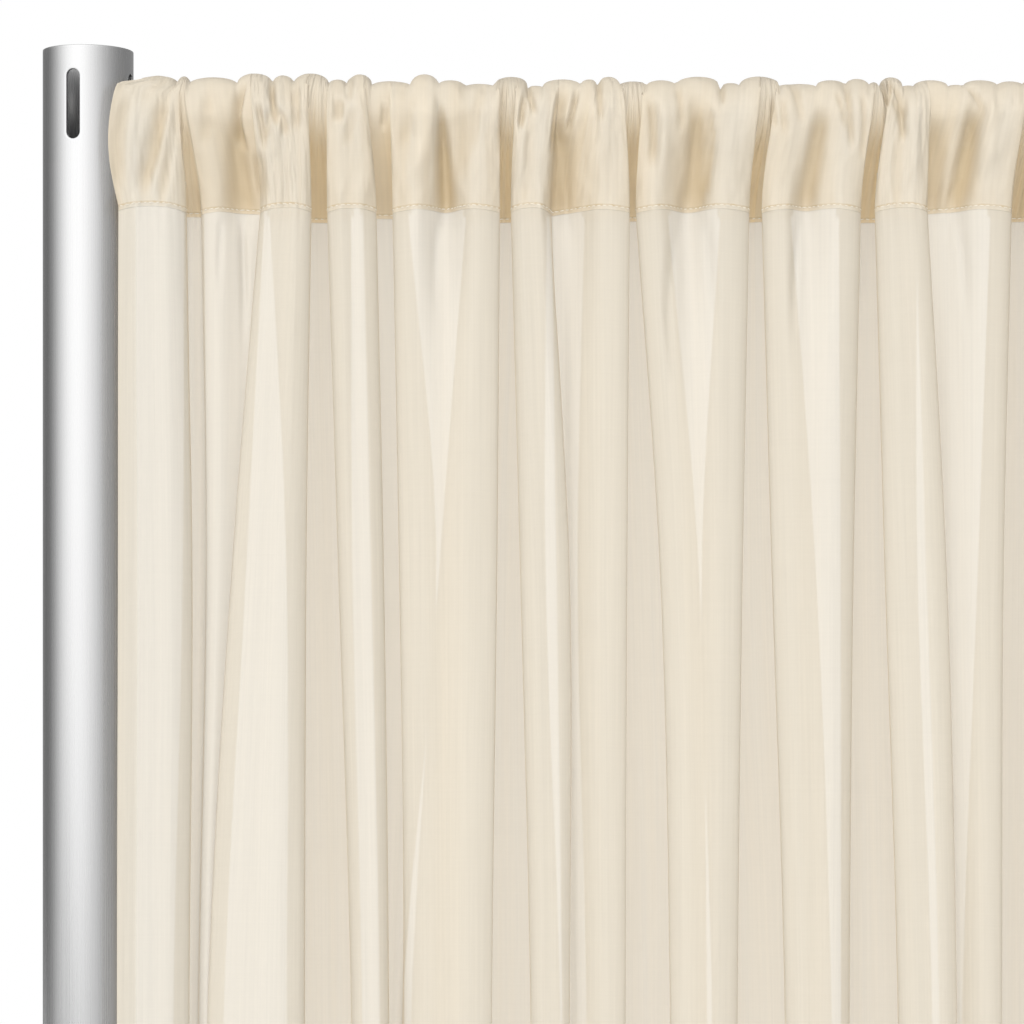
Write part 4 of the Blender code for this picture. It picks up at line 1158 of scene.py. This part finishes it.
class CURTAIN_OT_stitches(bpy.types.Operator):
    """Sews the stitched line under the crossbar"""
    bl_idname = "curtain.stitches"
    bl_label = "Sew the stitched line"

    def execute(self, context):
        cloth = context.scene.curtain_cloth
        rows = cloth_rows(cloth.width)[0]
        line = rows[SEAM_ROW]
        away = np.cross(np.gradient(line, axis=0), rows[SEAM_ROW - 1] - rows[SEAM_ROW + 1])
        away /= np.linalg.norm(away, axis=1)[:, None]
        mesh = stitches_mesh("seam_stitches", line, away, thread_material(cloth))
        add_piece("seam_stitches", mesh)
        return {"FINISHED"}


class CURTAIN_OT_stand(bpy.types.Operator):
    """Builds the slotted uprights, the crossbar, its hooks and the bases"""
    bl_idname = "curtain.stand"
    bl_label = "Build the stand"

    def execute(self, context):
        colour = context.scene.curtain_stand.metal_colour
        dull = [value * STEEL_TONE for value in colour]
        group = brushed_group()
        aluminium = metal_material("brushed_aluminium", colour, ALUMINIUM, group)
        steel = metal_material("plain_steel", dull, STEEL, group)
        coat = powder_coat_material()
        for side, word in ((-1, "left"), (1, "right")):
            upright = upright_mesh(word + "_slotted_upright", side * AXIS_X, -side * SLOT_TURN, aluminium)
            hook = hook_mesh(word + "_crossbar_hook", side, steel)
            base = base_mesh(word + "_flat_base", side, coat)
            for name, mesh, ending, slot in (("slotted_upright_", upright, "_upright", "brushed_aluminium"),
                                             ("crossbar_hook_", hook, "_hook", "plain_steel"),
                                             ("flat_base_", base, "_base", "powder_coat")):
                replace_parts(add_piece(name + word, mesh), word + ending)
        mesh = crossbar_mesh("round_crossbar", aluminium)
        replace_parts(add_piece("round_crossbar", mesh), "crossbar")
        return {"FINISHED"}


class CURTAIN_OT_stage(bpy.types.Operator):
    """Sets the floor, the light and the camera"""
    bl_idname = "curtain.stage"
    bl_label = "Set the stage"

    def execute(self, context):
        scene = context.scene
        bm = bmesh.new()
        bmesh.ops.create_grid(bm, x_segments=1, y_segments=1, size=scene.curtain_stage.floor_size / 2)
        mesh = mesh_from("floor", bm)
        floor = put("floor", mesh)
        material, tree, shader = new_material("pale_floor")
        fill(tree, shader, {"Base Color": FLOOR_COLOUR, "Roughness": FLOOR_ROUGHNESS})
        mesh.materials.append(material)

        world = bpy.data.worlds.new("studio")
        scene.world = world
        world.use_nodes = True
        tree = world.node_tree
        tree.nodes.clear()
        light = maths(tree, "MULTIPLY_ADD", soft_patch(tree, KEY), KEY_LIGHT, FILL_LIGHT)
        flagged = maths(tree, "MULTIPLY_ADD", soft_patch(tree, FLAG), -FLAG_SHADE, 1.0)
        light = maths(tree, "MULTIPLY", light, flagged)
        lit, white = (node(tree, "Background", {"Color": (1, 1, 1, 1), "Strength": strength}).outputs[0]
                      for strength in (light, 1.0))
        seen = node(tree, "LightPath").outputs["Is Camera Ray"]
        mix = node(tree, "MixShader", {0: seen, 1: lit, 2: white})
        tree.links.new(mix.outputs[0], node(tree, "OutputWorld").inputs[0])

        camera_data = bpy.data.cameras.new("camera")
        camera = put("camera", camera_data)
        camera.location = CAMERA_PLACE
        camera.rotation_euler = (math.pi / 2, 0, 0)
        camera_data.lens = CAMERA_LENS
        camera_data.sensor_width = CAMERA_SENSOR
        scene.camera = camera
        scene.view_settings.view_transform = "Standard"
        return {"FINISHED"}


class CURTAIN_PT_panel(bpy.types.Panel):
    bl_idname = "CURTAIN_PT_panel"
    bl_label = "Curtain"
    bl_space_type = "VIEW_3D"
    bl_region_type = "UI"
    bl_category = "Curtain"

    def draw(self, context):
        for operator in OPERATORS:
            self.layout.operator(operator.bl_idname)


OPERATORS = (CURTAIN_OT_cloth, CURTAIN_OT_stitches, CURTAIN_OT_stand, CURTAIN_OT_stage)
SETTINGS = {"curtain_cloth": ClothSettings, "curtain_stand": StandSettings, "curtain_stage": StageSettings}


def register():
    for made in (*SETTINGS.values(), *OPERATORS, CURTAIN_PT_panel):
        bpy.utils.register_class(made)
    for name, settings in SETTINGS.items():
        setattr(bpy.types.Scene, name, PointerProperty(type=settings))


def unregister():
    for name in SETTINGS:
        delattr(bpy.types.Scene, name)
    for made in reversed((*SETTINGS.values(), *OPERATORS, CURTAIN_PT_panel)):
        bpy.utils.unregister_class(made)


def main():
    register()
    for operator in OPERATORS:
        group, name = operator.bl_idname.split(".")
        getattr(getattr(bpy.ops, group), name)()


if __name__ == "__main__":
    main()
